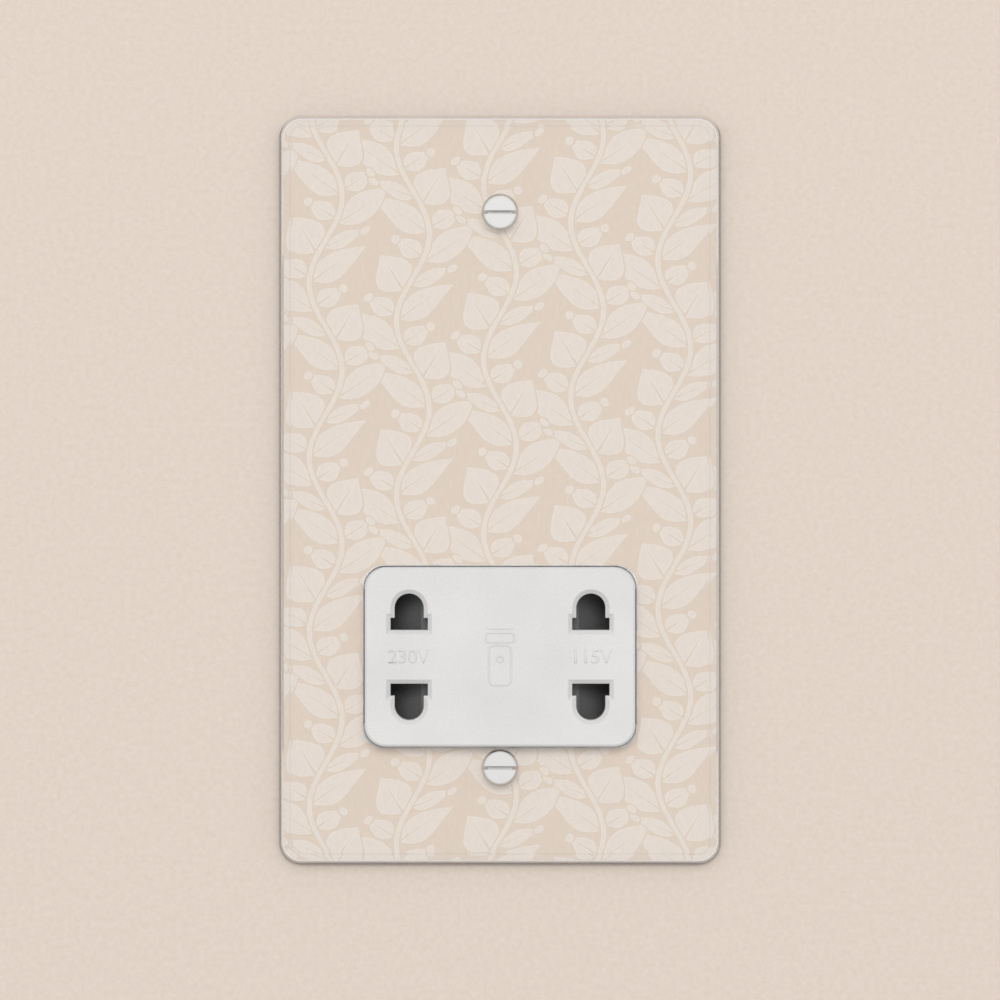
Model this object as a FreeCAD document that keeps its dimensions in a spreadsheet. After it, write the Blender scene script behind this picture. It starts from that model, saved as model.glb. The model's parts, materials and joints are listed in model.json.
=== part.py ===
import FreeCAD, Part
import os
import Sketcher

# Shaver socket with a clear face plate, in millimetres.
# The origin is the centre of the plate on the wall plane. +Z is up, +X is right,
# and the front of the socket faces -Y. What lies behind the wall plane has a positive y.

SIZES = {
    # Clear face plate
    "plate_width": 86.0,
    "plate_height": 146.0,
    "plate_thickness": 5.0,
    "plate_corner_radius": 4.3,
    "bevel_width": 2.3,
    "bevel_depth": 1.4,
    "rim_width": 1.0,
    "recess_corner_radius": 3.3,
    "window_clearance": 0.15,
    # Plate screws
    "screw_edge": 18.9,
    "plate_head_radius": 3.2,
    "plate_shank_radius": 1.75,
    "plate_shank_length": 6.9,
    "head_land": 0.25,
    "head_proud": 0.1,
    "head_edge": 0.25,
    "plate_slot_width": 0.7,
    "plate_slot_depth": 1.3,
    "thread_clearance": 0.05,
    "shank_clearance": 0.2,
    # Paper liner
    "liner_thickness": 0.2,
    "liner_play": 0.1,
    "liner_gap": 0.3,
    "liner_hole_gap": 0.5,
    # Steel mounting frame
    "frame_thickness": 1.2,
    "frame_gap": 0.6,
    "frame_window_gap": 0.3,
    "bush_radius": 2.4,
    "bush_length": 2.6,
    "fixing_edge": 12.7,
    "fixing_hole_radius": 2.0,
    "fixing_head_radius": 3.2,
    "dimple_depth": 0.9,
    "dimple_wall": 0.6,
    # White socket moulding
    "module_width": 52.7,
    "module_height": 34.9,
    "module_corner_radius": 4.15,
    "module_edge": 0.4,
    "module_proud": 0.5,
    "screw_gap": 4.15,
    "face_wall": 2.5,
    "flange_wall": 1.5,
    "flange_corner_radius": 1.6,
    "flange_lip_up": 2.55,
    "flange_lip_down": 0.85,
    # Pin apertures
    "outlet_spacing": 35.4,
    "round_radius": 2.855,
    "round_offset": 9.5,
    "blade_width": 7.3,
    "blade_near": 5.2,
    "blade_far": 7.6,
    "lead_in": 0.8,
    "aperture_wall": 1.25,
    # Interlock shutter and its centring spring
    "shutter_thickness": 5.2,
    "shutter_travel": 7.2,
    "running_gap": 0.35,
    "pocket_margin": 0.85,
    "end_gap": 1.0,
    "ramp_reach": 3.8,
    "crest_inset": 2.3,
    "foot_thickness": 0.5,
    "web_thickness": 1.2,
    "spring_strip": 0.3,
    "spring_width": 1.6,
    "spring_length": 20.0,
    "spring_grip": 4.0,
    "spring_stand_off": 0.7,
    "spring_play": 0.15,
    "spring_rib": 1.2,
    "spring_rib_height": 4.0,
    "post_wall": 1.5,
    "post_room": 0.5,
    # Contact carrier and contacts
    "contact_pocket_half": 4.6,
    "contact_pocket_gap": 0.3,
    "carrier_wall": 1.3,
    "carrier_depth": 19.0,
    "carrier_back_wall": 1.5,
    "carrier_front_wall": 2.5,
    "contact_strip": 0.5,
    "contact_half_width": 3.0,
    "contact_pinch": 1.85,
    "contact_mouth": 3.85,
    "contact_lead": 1.3,
    "contact_height": 6.4,
    "tag_half_width": 1.5,
    "tag_thickness": 0.6,
    "tag_length": 5.0,
    "tag_gap": 0.2,
    "tag_room": 1.0,
    "ear_radius": 2.4,
    "ear_reach": 2.15,
    "ear_thickness": 3.0,
    # Screws of the rear housing
    "housing_shank_radius": 1.25,
    "housing_head_radius": 2.1,
    "housing_head_height": 1.5,
    "recess_ratio": 0.55,
    "small_slot_width": 0.6,
    "small_slot_depth": 0.8,
    # Transformer
    "core_width": 48.0,
    "core_height": 40.0,
    "core_stack": 20.0,
    "core_window": 8.0,
    "core_gap": 12.5,
    "bobbin_fit": 0.15,
    "bobbin_wall": 1.0,
    "bobbin_flange": 1.2,
    "bobbin_lip": 0.3,
    "coil_clearance": 1.15,
    "winding_corner": 2.5,
    "coil_gap_front": 2.65,
    "coil_gap_back": 1.65,
    "cutout_width": 12.0,
    "cutout_depth": 8.0,
    "cutout_height": 4.2,
    "cutout_edge": 0.8,
    "cutout_tag": 4.0,
    "clamp_thickness": 1.2,
    "clamp_height": 4.0,
    # Rear housing
    "housing_wall": 2.0,
    "housing_gap": 0.5,
    "housing_top_gap": 1.8,
    "housing_corner_radius": 3.0,
    "housing_edge": 1.2,
    "well_radius": 3.0,
    "well_bore_radius": 2.35,
    "well_sink": 0.8,
    "well_floor": 3.3,
    "pillar_half": 2.4,
    "pillar_gap": 0.8,
    "rib_width": 2.0,
    "rib_inset": 4.0,
    "bush_notch_gap": 0.7,
    "bush_notch_room": 2.0,
    "vent_width": 2.0,
    "vent_pitch": 5.0,
    "vent_height": 22.0,
    # Supply terminals
    "terminal_pitch": 13.0,
    "terminal_width": 8.0,
    "terminal_depth": 8.0,
    "terminal_height": 9.5,
    "terminal_edge": 0.5,
    "wire_hole_radius": 1.75,
    "wire_hole_depth": 3.5,
    "terminal_shank_radius": 1.5,
    "terminal_head_radius": 2.0,
    "terminal_head_height": 2.2,
    "terminal_tail_proud": 0.6,
    "bay_wall": 1.6,
    "bay_side": 5.0,
    "bay_gap": 2.0,
    "bay_margin": 0.8,
    "cable_room": 5.8,
    "divider_width": 1.2,
}

SIDES = (-1, 1)
VENTS = 5
TERMINALS = {"live": -1, "neutral": 0, "earth": 1}
OUTLETS = {"230": -1, "115": 1}
ROWS = {"upper": 1, "lower": -1}
PLANE_OF_AXIS = {"Y": "XZ_Plane", "Z": "XY_Plane", "X": "YZ_Plane"}
TOLERANCE = 1e-6
EDGE_TOLERANCE = 1e-4
BEYOND = 1.0

doc = FreeCAD.newDocument("ShaverSocket")
sheet = doc.addObject("Spreadsheet::Sheet", "Sizes")
for row, (alias, number) in enumerate(SIZES.items(), 1):
    sheet.set(f"A{row}", alias)
    sheet.set(f"B{row}", str(number))
    sheet.setAlias(f"B{row}", alias)
doc.recompute()


class Size:
    """A length of the model, with the expression that ties it to the sheet."""

    def __init__(self, value, text):
        self.value = value
        self.text = text

    def joined(self, sign, other, value):
        return Size(value, f"({self.text} {sign} {other.text})")

    def __add__(self, other):
        other = as_size(other)
        return self.joined("+", other, self.value + other.value)

    def __sub__(self, other):
        other = as_size(other)
        return self.joined("-", other, self.value - other.value)

    def __mul__(self, other):
        other = as_size(other)
        return self.joined("*", other, self.value * other.value)

    def __truediv__(self, other):
        other = as_size(other)
        return self.joined("/", other, self.value / other.value)

    def __neg__(self):
        return Size(-self.value, f"(-{self.text})")


class SheetSizes:
    """Gives each aliased cell of the sheet as a Size."""

    def __getattr__(self, alias):
        return Size(float(sheet.get(alias)), f"Sizes.{alias}")


def as_size(number):
    return number if isinstance(number, Size) else Size(float(number), f"({number})")


def largest(first, second):
    return Size(max(first.value, second.value), f"max({first.text}; {second.text})")


# Sketching: an outline is a function that draws itself on a sketch


def pin_coordinate(sketch, edge, end, kind, length):
    """Ties one coordinate of an edge's end to its distance from the sketch's origin."""
    if abs(length.value) < TOLERANCE:
        axis = -2 if kind == "DistanceX" else -1
        sketch.addConstraint(Sketcher.Constraint("PointOnObject", edge, end, axis))
        return
    index = sketch.addConstraint(Sketcher.Constraint(kind, -1, 1, edge, end, length.value))
    sketch.setExpression(f"Constraints[{index}]", length.text)


def pin(sketch, edge, end, point):
    pin_coordinate(sketch, edge, end, "DistanceX", point[0])
    pin_coordinate(sketch, edge, end, "DistanceY", point[1])


def set_radius(sketch, edge, radius):
    index = sketch.addConstraint(Sketcher.Constraint("Radius", edge, radius.value))
    sketch.setExpression(f"Constraints[{index}]", radius.text)


def vector(point):
    return FreeCAD.Vector(point[0].value, point[1].value, 0)


def line(sketch, start, end, construction=False):
    return sketch.addGeometry(Part.LineSegment(vector(start), vector(end)), construction)


def join(sketch, first, second):
    sketch.addConstraint(Sketcher.Constraint("Coincident", first, 2, second, 1))


def arc(sketch, centre, radius, start, end):
    """An arc of a circle, anticlockwise between two angles in quarter turns."""
    quarter = FreeCAD.Units.Quantity("90 deg").getValueAs("rad").Value
    circle_of_arc = Part.Circle(vector(centre), FreeCAD.Vector(0, 0, 1), radius.value)
    return sketch.addGeometry(Part.ArcOfCircle(circle_of_arc, start * quarter, end * quarter), False)


def polygon(points):
    """A closed outline of straight runs."""
    points = [(as_size(x), as_size(y)) for x, y in points]

    def draw(sketch):
        following = points[1:] + points[:1]
        edges = [line(sketch, start, end) for start, end in zip(points, following)]
        for edge, after, point in zip(edges, edges[1:] + edges[:1], points):
            join(sketch, edge, after)
            pin(sketch, edge, 1, point)

    return draw


def rectangle(left, low, right, high):
    return polygon([(left, low), (right, low), (right, high), (left, high)])


def box_about(x, z, half_width, half_height):
    x = as_size(x)
    z = as_size(z)
    return rectangle(x - half_width, z - half_height, x + half_width, z + half_height)


def rounded(x, z, half_width, half_height, radius):
    """A rectangle about a centre, with the same radius at its four corners."""
    x = as_size(x)
    z = as_size(z)
    left = x - half_width
    right = x + half_width
    low = z - half_height
    high = z + half_height

    def draw(sketch):
        sides = [
            ((left + radius, low), (right - radius, low)),
            ((right, low + radius), (right, high - radius)),
            ((right - radius, high), (left + radius, high)),
            ((left, high - radius), (left, low + radius)),
        ]
        centres = [
            (right - radius, low + radius),
            (right - radius, high - radius),
            (left + radius, high - radius),
            (left + radius, low + radius),
        ]
        edges = [line(sketch, *side) for side in sides]
        corners = [arc(sketch, centre, radius, turn - 1, turn) for turn, centre in enumerate(centres)]
        for edge, corner, after in zip(edges, corners, edges[1:] + edges[:1]):
            sketch.addConstraint(Sketcher.Constraint("Tangent", edge, 2, corner, 1))
            sketch.addConstraint(Sketcher.Constraint("Tangent", corner, 2, after, 1))
        for corner in corners[1:]:
            sketch.addConstraint(Sketcher.Constraint("Equal", corners[0], corner))
        set_radius(sketch, corners[0], radius)
        for direction, edge in zip(("Horizontal", "Vertical", "Horizontal", "Vertical"), edges):
            sketch.addConstraint(Sketcher.Constraint(direction, edge))
        pin_coordinate(sketch, edges[0], 1, "DistanceY", low)
        pin_coordinate(sketch, edges[1], 1, "DistanceX", right)
        pin_coordinate(sketch, edges[2], 1, "DistanceY", high)
        pin_coordinate(sketch, edges[3], 1, "DistanceX", left)

    return draw


def circle(x, z, radius):
    centre = (as_size(x), as_size(z))

    def draw(sketch):
        whole = Part.Circle(vector(centre), FreeCAD.Vector(0, 0, 1), radius.value)
        edge = sketch.addGeometry(whole, False)
        set_radius(sketch, edge, radius)
        pin(sketch, edge, 3, centre)

    return draw


def pin_aperture(x, z, side):
    """A blade slot that runs into a round-ended pin hole, away from the module's centre."""
    half = S.blade_width / 2
    near = z + S.blade_near * side
    far = z + S.blade_far * side
    crown = z + S.round_offset * side

    def draw(sketch):
        right = [(x + half, near), (x + half, far), (x + S.round_radius, far), (x + S.round_radius, crown)]
        left = [(x - S.round_radius, crown), (x - S.round_radius, far), (x - half, far), (x - half, near)]
        right_edges = [line(sketch, a, b) for a, b in zip(right, right[1:])]
        left_edges = [line(sketch, a, b) for a, b in zip(left, left[1:])]
        base = line(sketch, left[-1], right[0])
        turn = 0 if side > 0 else 2
        top = arc(sketch, (x, crown), S.round_radius, turn, turn + 2)
        arc_start, arc_end = (1, 2) if side > 0 else (2, 1)
        chain = left_edges + [base] + right_edges
        for first, second in zip(chain, chain[1:]):
            join(sketch, first, second)
        for edge, point in zip(chain, left + right):
            if edge != left_edges[0]:
                pin(sketch, edge, 1, point)
        pin(sketch, right_edges[-1], 2, right[-1])
        pin(sketch, top, 3, (x, crown))
        sketch.addConstraint(Sketcher.Constraint("Coincident", right_edges[-1], 2, top, arc_start))
        sketch.addConstraint(Sketcher.Constraint("Coincident", left_edges[0], 1, top, arc_end))
        pin_coordinate(sketch, left_edges[0], 1, "DistanceY", crown)

    return draw


# Features of a body


def new_body(name):
    body = doc.addObject("PartDesign::Body", f"{name}_body")
    body.Label = name
    return body


def new_sketch(body, name, axis, level):
    """A sketch square to an axis, on the body's own origin plane moved to a level."""
    sketch = body.newObject("Sketcher::SketchObject", f"{name}_sketch")
    role = PLANE_OF_AXIS[axis]
    plane = next(feature for feature in body.Origin.OriginFeatures if feature.Role == role)
    sketch.AttachmentSupport = [(plane, "")]
    sketch.MapMode = "FlatFace"
    offset = -level if axis == "Y" else level
    sketch.setExpression("AttachmentOffset.Base.z", offset.text)
    return sketch


def prism(body, name, axis, start, end, outlines, cut=False):
    """Adds or cuts straight along an axis, from a start to a larger end."""
    start = as_size(start)
    end = as_size(end)
    points_forward = axis != "Y"
    begins_at_start = points_forward != cut
    sketch = new_sketch(body, name, axis, start if begins_at_start else end)
    for outline in outlines:
        outline(sketch)
    before = body.Shape.Volume if body.Tip else 0.0
    feature = body.newObject("PartDesign::Pocket" if cut else "PartDesign::Pad", name)
    feature.Profile = sketch
    feature.setExpression("Length", (end - start).text)
    doc.recompute()
    change = feature.Shape.Volume - before
    if (change > -TOLERANCE) if cut else (change < TOLERANCE):
        raise ValueError(f"{name} changes nothing")
    return feature


def add(body, name, axis, start, end, *outlines):
    return prism(body, name, axis, start, end, outlines)


def cut(body, name, axis, start, end, *outlines):
    return prism(body, name, axis, start, end, outlines, cut=True)


def turn(body, name, x, z, profile, cut_away=False):
    """A turned form about an axis along Y. The profile gives depths along Y and radii."""
    x = as_size(x)
    z = as_size(z)
    sketch = new_sketch(body, name, "X", x)
    points = [(as_size(depth), z + radius) for depth, radius in profile]
    polygon(points)(sketch)
    axis = line(sketch, points[0], points[-1], construction=True)
    sketch.addConstraint(Sketcher.Constraint("Coincident", axis, 1, 0, 1))
    sketch.addConstraint(Sketcher.Constraint("Coincident", axis, 2, len(points) - 1, 1))
    feature = body.newObject("PartDesign::Groove" if cut_away else "PartDesign::Revolution", name)
    feature.Profile = sketch
    feature.ReferenceAxis = (sketch, ["Axis0"])
    feature.Angle = 360
    doc.recompute()
    return feature


def dress(body, kind, name, chosen, sizes):
    """A fillet or chamfer on the chosen edges of what the body has so far."""
    base = body.Tip
    edges = [f"Edge{i}" for i, edge in enumerate(base.Shape.Edges, 1) if chosen(edge)]
    feature = body.newObject(f"PartDesign::{kind}", name)
    feature.Base = (base, edges)
    if len(sizes) > 1:
        feature.ChamferType = "Two distances"
    for property_name, length in sizes.items():
        feature.setExpression(property_name, length.text)
    doc.recompute()
    return feature


def at_depth(depth):
    """Picks the edges that lie wholly at one depth along Y."""
    def chosen(edge):
        near = abs(edge.BoundBox.YMin - depth.value)
        far = abs(edge.BoundBox.YMax - depth.value)
        return max(near, far) < EDGE_TOLERANCE
    return chosen


def along(axis):
    """Picks the straight edges that run along an axis."""
    def chosen(edge):
        spans = {"X": edge.BoundBox.XLength, "Y": edge.BoundBox.YLength, "Z": edge.BoundBox.ZLength}
        return spans.pop(axis) > EDGE_TOLERANCE > max(spans.values())
    return chosen


def within(x, z, half_width, half_height):
    """Picks the edges whose middle lies inside a rectangle about a centre."""
    def chosen(edge):
        middle = edge.BoundBox.Center
        return abs(middle.x - x.value) < half_width.value and abs(middle.z - z.value) < half_height.value
    return chosen


def together(*tests):
    return lambda edge: all(test(edge) for test in tests)


def group(name, bodies):
    """Identical pieces kept as one set of separate solids."""
    for number, body in enumerate(bodies, 1):
        body.Label = f"{name}_{number}"
    compound = doc.addObject("Part::Compound", f"{name}_set")
    compound.Links = bodies
    compound.Label = name
    doc.recompute()
    return compound


S = SheetSizes()
NOUGHT = as_size(0)

# Levels along Y, from the front to the back
plate_front = -S.plate_thickness
frame_front = -S.frame_thickness
liner_front = frame_front - S.liner_thickness
module_front = plate_front - S.module_proud
face_back = module_front + S.face_wall
shutter_front = S.running_gap
shutter_back = shutter_front + S.shutter_thickness
web_back = shutter_front + S.web_thickness
flange_back = shutter_back + S.running_gap
carrier_back = flange_back + S.carrier_depth
contact_back = carrier_back - S.carrier_back_wall
tag_end = contact_back + S.tag_length
well_seat = flange_back + S.well_floor
bay_depth = S.terminal_depth + S.terminal_head_height + S.bay_margin
core_half = S.core_width / 2
core_limb = core_half - S.core_window
core_side = core_limb / 2
winding_build = S.core_window - S.bobbin_fit - S.bobbin_wall - S.bobbin_lip - S.coil_clearance
coil_reach = S.core_stack / 2 + S.bobbin_fit + S.bobbin_wall + winding_build + S.bobbin_lip
core_middle = coil_reach + S.coil_gap_front
core_front = core_middle - S.core_stack / 2
core_back = core_middle + S.core_stack / 2
housing_floor = largest(core_middle + coil_reach + S.coil_gap_back,
                        tag_end + S.tag_room + S.bay_wall + bay_depth - S.housing_wall)
housing_back = housing_floor + S.housing_wall
bay_floor = housing_back - bay_depth
bay_front = bay_floor - S.bay_wall
terminal_back = bay_floor + S.terminal_depth

# Heights and half widths
screw_z = S.plate_height / 2 - S.screw_edge
fixing_z = S.plate_height / 2 - S.fixing_edge
module_z = S.module_height / 2 + S.screw_gap - screw_z
module_half_width = S.module_width / 2
module_half_height = S.module_height / 2
outlet_x = S.outlet_spacing / 2
ramp_foot = outlet_x + S.ramp_reach
ramp_crest = outlet_x - S.crest_inset
pocket_half_height = S.round_offset + S.round_radius + S.pocket_margin
pocket_half_length = ramp_foot + S.shutter_travel + S.end_gap
flange_top = module_z + module_half_height + S.flange_lip_up
flange_bottom = module_z - module_half_height - S.flange_lip_down
core_bottom = flange_top + S.core_gap
core_top = core_bottom + S.core_height
core_z = core_bottom + S.core_height / 2
pillar_x = core_half + S.pillar_gap + S.pillar_half
housing_inner_half = largest(pocket_half_length + S.flange_wall + S.housing_gap,
                             pillar_x + S.pillar_half + S.pillar_gap)
flange_half_width = housing_inner_half - S.housing_gap
housing_half = housing_inner_half + S.housing_wall
housing_low_inner = flange_bottom - S.housing_gap
housing_bottom = housing_low_inner - S.housing_wall
housing_high_inner = core_top + S.cutout_height + S.housing_top_gap
housing_top = housing_high_inner + S.housing_wall
well_x = housing_inner_half + S.well_sink - S.well_radius
well_z_low = housing_low_inner - S.well_sink + S.well_radius
well_z_high = housing_high_inner + S.well_sink - S.well_radius
wells = {"lower": well_z_low, "upper": well_z_high}
terminal_low = housing_bottom + S.cable_room
terminal_high = terminal_low + S.terminal_height
terminal_z = terminal_low + S.terminal_height / 2
bay_top = terminal_high + S.bay_gap
bay_half = S.terminal_pitch + S.terminal_width / 2 + S.bay_side
contact_middle = (S.blade_near + S.round_offset + S.round_radius) / 2
contact_pocket_half_height = S.contact_height / 2 + S.contact_pocket_gap
carrier_half_width = outlet_x + S.contact_pocket_half + S.carrier_wall
carrier_half_height = contact_middle + contact_pocket_half_height + S.carrier_wall
spring_front = web_back + S.spring_stand_off
spring_top = module_z + S.spring_length / 2
spring_low = module_z - S.spring_length / 2
post_half = S.spring_strip / 2 + S.post_wall
relief_half = post_half + S.shutter_travel + S.post_room
ear_offset = carrier_half_height + S.ear_reach
ear_places = [module_z + ear_offset, module_z - ear_offset]
clamp_z = {"upper": core_top - core_side / 2, "lower": core_bottom + core_side / 2}


def make_faceplate():
    """Clear plate with a bevelled front edge, a recess behind it and a window for the module."""
    body = new_body("faceplate")
    half_width = S.plate_width / 2
    half_height = S.plate_height / 2
    add(body, "plate_slab", "Y", plate_front, NOUGHT,
        rounded(0, 0, half_width, half_height, S.plate_corner_radius))
    dress(body, "Chamfer", "front_bevel", at_depth(plate_front),
          {"Size": S.bevel_depth, "Size2": S.bevel_width})
    cut(body, "back_recess", "Y", liner_front - S.liner_play, NOUGHT,
        rounded(0, 0, half_width - S.rim_width, half_height - S.rim_width, S.recess_corner_radius))
    gap = S.window_clearance
    cut(body, "module_window", "Y", plate_front - BEYOND, NOUGHT,
        rounded(0, module_z, module_half_width + gap, module_half_height + gap, S.module_corner_radius + gap))
    seat = plate_front - S.head_proud + S.head_edge + S.head_land
    bore = S.plate_shank_radius + S.shank_clearance
    mouth = S.plate_head_radius + seat - plate_front
    for name, z in (("upper", screw_z), ("lower", -screw_z)):
        profile = [(plate_front, NOUGHT), (plate_front, mouth),
                   (seat + S.plate_head_radius - bore, bore), (NOUGHT, bore), (NOUGHT, NOUGHT)]
        turn(body, f"{name}_countersink", 0, z, profile, cut_away=True)
    return body


def make_plate_screws():
    """Slotted countersunk screws that hold the plate to the frame."""
    bodies = []
    top = plate_front - S.head_proud
    land = top + S.head_edge
    seat = land + S.head_land
    neck = seat + S.plate_head_radius - S.plate_shank_radius
    tip = neck + S.plate_shank_length
    for z in (screw_z, -screw_z):
        body = new_body("plate_screw")
        profile = [(top, NOUGHT), (top, S.plate_head_radius - S.head_edge), (land, S.plate_head_radius),
                   (seat, S.plate_head_radius), (neck, S.plate_shank_radius),
                   (tip, S.plate_shank_radius), (tip, NOUGHT)]
        turn(body, "screw", 0, z, profile)
        cut(body, "slot", "Y", top - BEYOND, top + S.plate_slot_depth,
            box_about(0, z, S.plate_head_radius + BEYOND, S.plate_slot_width / 2))
        bodies.append(body)
    return group("plate_screws", bodies)


def make_paper_liner():
    """Sheet of wall paper cut to lie behind the clear plate."""
    body = new_body("paper_liner")
    inset = S.rim_width + S.liner_gap
    gap = S.window_clearance + S.liner_gap
    add(body, "sheet", "Y", liner_front, frame_front,
        rounded(0, 0, S.plate_width / 2 - inset, S.plate_height / 2 - inset, S.recess_corner_radius))
    hole = S.plate_shank_radius + S.liner_hole_gap
    cut(body, "cut_outs", "Y", liner_front - BEYOND, frame_front,
        rounded(0, module_z, module_half_width + gap, module_half_height + gap, S.module_corner_radius),
        circle(0, screw_z, hole), circle(0, -screw_z, hole))
    return body


def make_mounting_frame():
    """Pressed steel frame that carries the plate, the module and the housing."""
    body = new_body("mounting_frame")
    inset = S.rim_width + S.frame_gap
    gap = S.frame_window_gap
    add(body, "sheet", "Y", frame_front, NOUGHT,
        rounded(0, 0, S.plate_width / 2 - inset, S.plate_height / 2 - inset, S.recess_corner_radius))
    add(body, "bushes", "Y", frame_front, S.bush_length,
        circle(0, screw_z, S.bush_radius), circle(0, -screw_z, S.bush_radius))
    dimple_tip = S.fixing_hole_radius + S.dimple_wall
    dimple_root = dimple_tip + S.dimple_depth
    for name, z in (("upper", fixing_z), ("lower", -fixing_z)):
        turn(body, f"{name}_dimple", 0, z,
             [(frame_front, NOUGHT), (frame_front, dimple_root), (NOUGHT, dimple_root),
              (S.dimple_depth, dimple_tip), (S.dimple_depth, NOUGHT)])
        throat = frame_front + S.fixing_head_radius - S.fixing_hole_radius
        turn(body, f"{name}_fixing_hole", 0, z,
             [(frame_front, NOUGHT), (frame_front, S.fixing_head_radius), (throat, S.fixing_hole_radius),
              (S.dimple_depth, S.fixing_hole_radius), (S.dimple_depth, NOUGHT)], cut_away=True)
    tapped = S.plate_shank_radius + S.thread_clearance
    cut(body, "tapped_bushes", "Y", frame_front - BEYOND, S.bush_length,
        circle(0, screw_z, tapped), circle(0, -screw_z, tapped))
    screw_holes = [circle(well_x * side, z, S.housing_shank_radius + S.thread_clearance)
                   for side in SIDES for z in wells.values()]
    cut(body, "cut_outs", "Y", frame_front - BEYOND, NOUGHT,
        rounded(0, module_z, module_half_width + gap, module_half_height + gap, S.module_corner_radius),
        *screw_holes)
    return body


def make_socket_front():
    """White moulding with four pin apertures, and a flange that holds the shutter."""
    body = new_body("socket_front")
    add(body, "face_block", "Y", module_front, NOUGHT,
        rounded(0, module_z, module_half_width, module_half_height, S.module_corner_radius))
    dress(body, "Chamfer", "face_edge", at_depth(module_front), {"Size": S.module_edge})
    flange_middle = (flange_top + flange_bottom) / 2
    flange_half_height = (flange_top - flange_bottom) / 2
    add(body, "flange", "Y", NOUGHT, flange_back,
        rounded(0, flange_middle, flange_half_width, flange_half_height, S.flange_corner_radius))
    cut(body, "shutter_pocket", "Y", NOUGHT, flange_back,
        box_about(0, module_z, pocket_half_length, pocket_half_height))
    hollow_half = outlet_x - S.blade_width / 2 - S.aperture_wall
    cut(body, "face_hollow", "Y", face_back, NOUGHT,
        box_about(0, module_z, hollow_half, pocket_half_height))
    apertures = [pin_aperture(outlet_x * side, module_z, row)
                 for side in OUTLETS.values() for row in ROWS.values()]
    cut(body, "pin_apertures", "Y", module_front - BEYOND, NOUGHT, *apertures)
    inside_face = within(NOUGHT, module_z, module_half_width - S.module_corner_radius, pocket_half_height)
    dress(body, "Chamfer", "lead_ins", together(at_depth(module_front), inside_face), {"Size": S.lead_in})
    screw_holes = [circle(well_x * side, well_z_low, S.housing_shank_radius + S.shank_clearance)
                   for side in SIDES]
    cut(body, "housing_screw_holes", "Y", NOUGHT, flange_back, *screw_holes)
    return body


def make_interlock_shutter():
    """Sliding plate with a ramp behind each outlet, closed at rest and pushed aside by a plug."""
    body = new_body("interlock_shutter")
    half_height = pocket_half_height - S.running_gap
    foot_front = shutter_back - S.foot_thickness
    right = [(ramp_crest, shutter_front), (ramp_foot, foot_front), (ramp_foot, shutter_back),
             (relief_half, shutter_back), (relief_half, web_back)]
    left = [(-x, y) for x, y in reversed(right)]
    add(body, "ramped_plate", "Z", module_z - half_height, module_z + half_height, polygon(right + left))
    rib_x = S.spring_strip / 2 + S.spring_play + S.spring_rib / 2
    rib_z = spring_low + S.spring_rib_height / 2
    add(body, "spring_ribs", "Y", web_back, shutter_back,
        *[box_about(rib_x * side, rib_z, S.spring_rib / 2, S.spring_rib_height / 2) for side in SIDES])
    return body


def make_centring_spring():
    """Leaf of spring strip, held by the carrier's post at its top and by the shutter's ribs at its foot."""
    body = new_body("centring_spring")
    add(body, "leaf", "Y", spring_front, spring_front + S.spring_width,
        rectangle(-S.spring_strip / 2, spring_low, S.spring_strip / 2, spring_top))
    return body


def make_contact_carrier():
    """Moulded block with a pocket for each contact, held to the flange by two ears."""
    body = new_body("contact_carrier")
    add(body, "block", "Y", flange_back, carrier_back,
        box_about(0, module_z, carrier_half_width, carrier_half_height))
    ears = [circle(0, z, S.ear_radius) for z in ear_places]
    web_half = ear_offset - carrier_half_height
    ear_webs = [box_about(0, z, S.ear_radius, web_half) for z in ear_places]
    for name, ear, web in zip(("upper", "lower"), ears, ear_webs):
        add(body, f"{name}_ear", "Y", flange_back, flange_back + S.ear_thickness, ear)
        add(body, f"{name}_ear_web", "Y", flange_back, flange_back + S.ear_thickness, web)
    places = [(outlet_x * side, module_z + contact_middle * row)
              for side in OUTLETS.values() for row in ROWS.values()]
    cut(body, "contact_pockets", "Y", flange_back, contact_back,
        *[box_about(x, z, S.contact_pocket_half, contact_pocket_half_height) for x, z in places])
    slot_half = S.tag_half_width + S.tag_gap
    slot_height = S.tag_thickness / 2 + S.tag_gap
    cut(body, "tag_slots", "Y", contact_back, carrier_back,
        *[box_about(x, z, slot_half, slot_height) for x, z in places])
    hollow_half = outlet_x - S.contact_pocket_half - S.carrier_wall
    cut(body, "back_hollow", "Y", flange_back + S.carrier_front_wall, carrier_back,
        box_about(0, module_z, hollow_half, carrier_half_height - S.carrier_wall))
    post_front = web_back + S.running_gap
    add(body, "spring_post", "Y", post_front, flange_back,
        rectangle(-post_half, spring_top - S.spring_grip, post_half, spring_top + S.post_wall))
    cut(body, "spring_slot", "Y", post_front, spring_front + S.spring_width,
        rectangle(-S.spring_strip / 2, spring_top - S.spring_grip - BEYOND, S.spring_strip / 2, spring_top))
    return body


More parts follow.
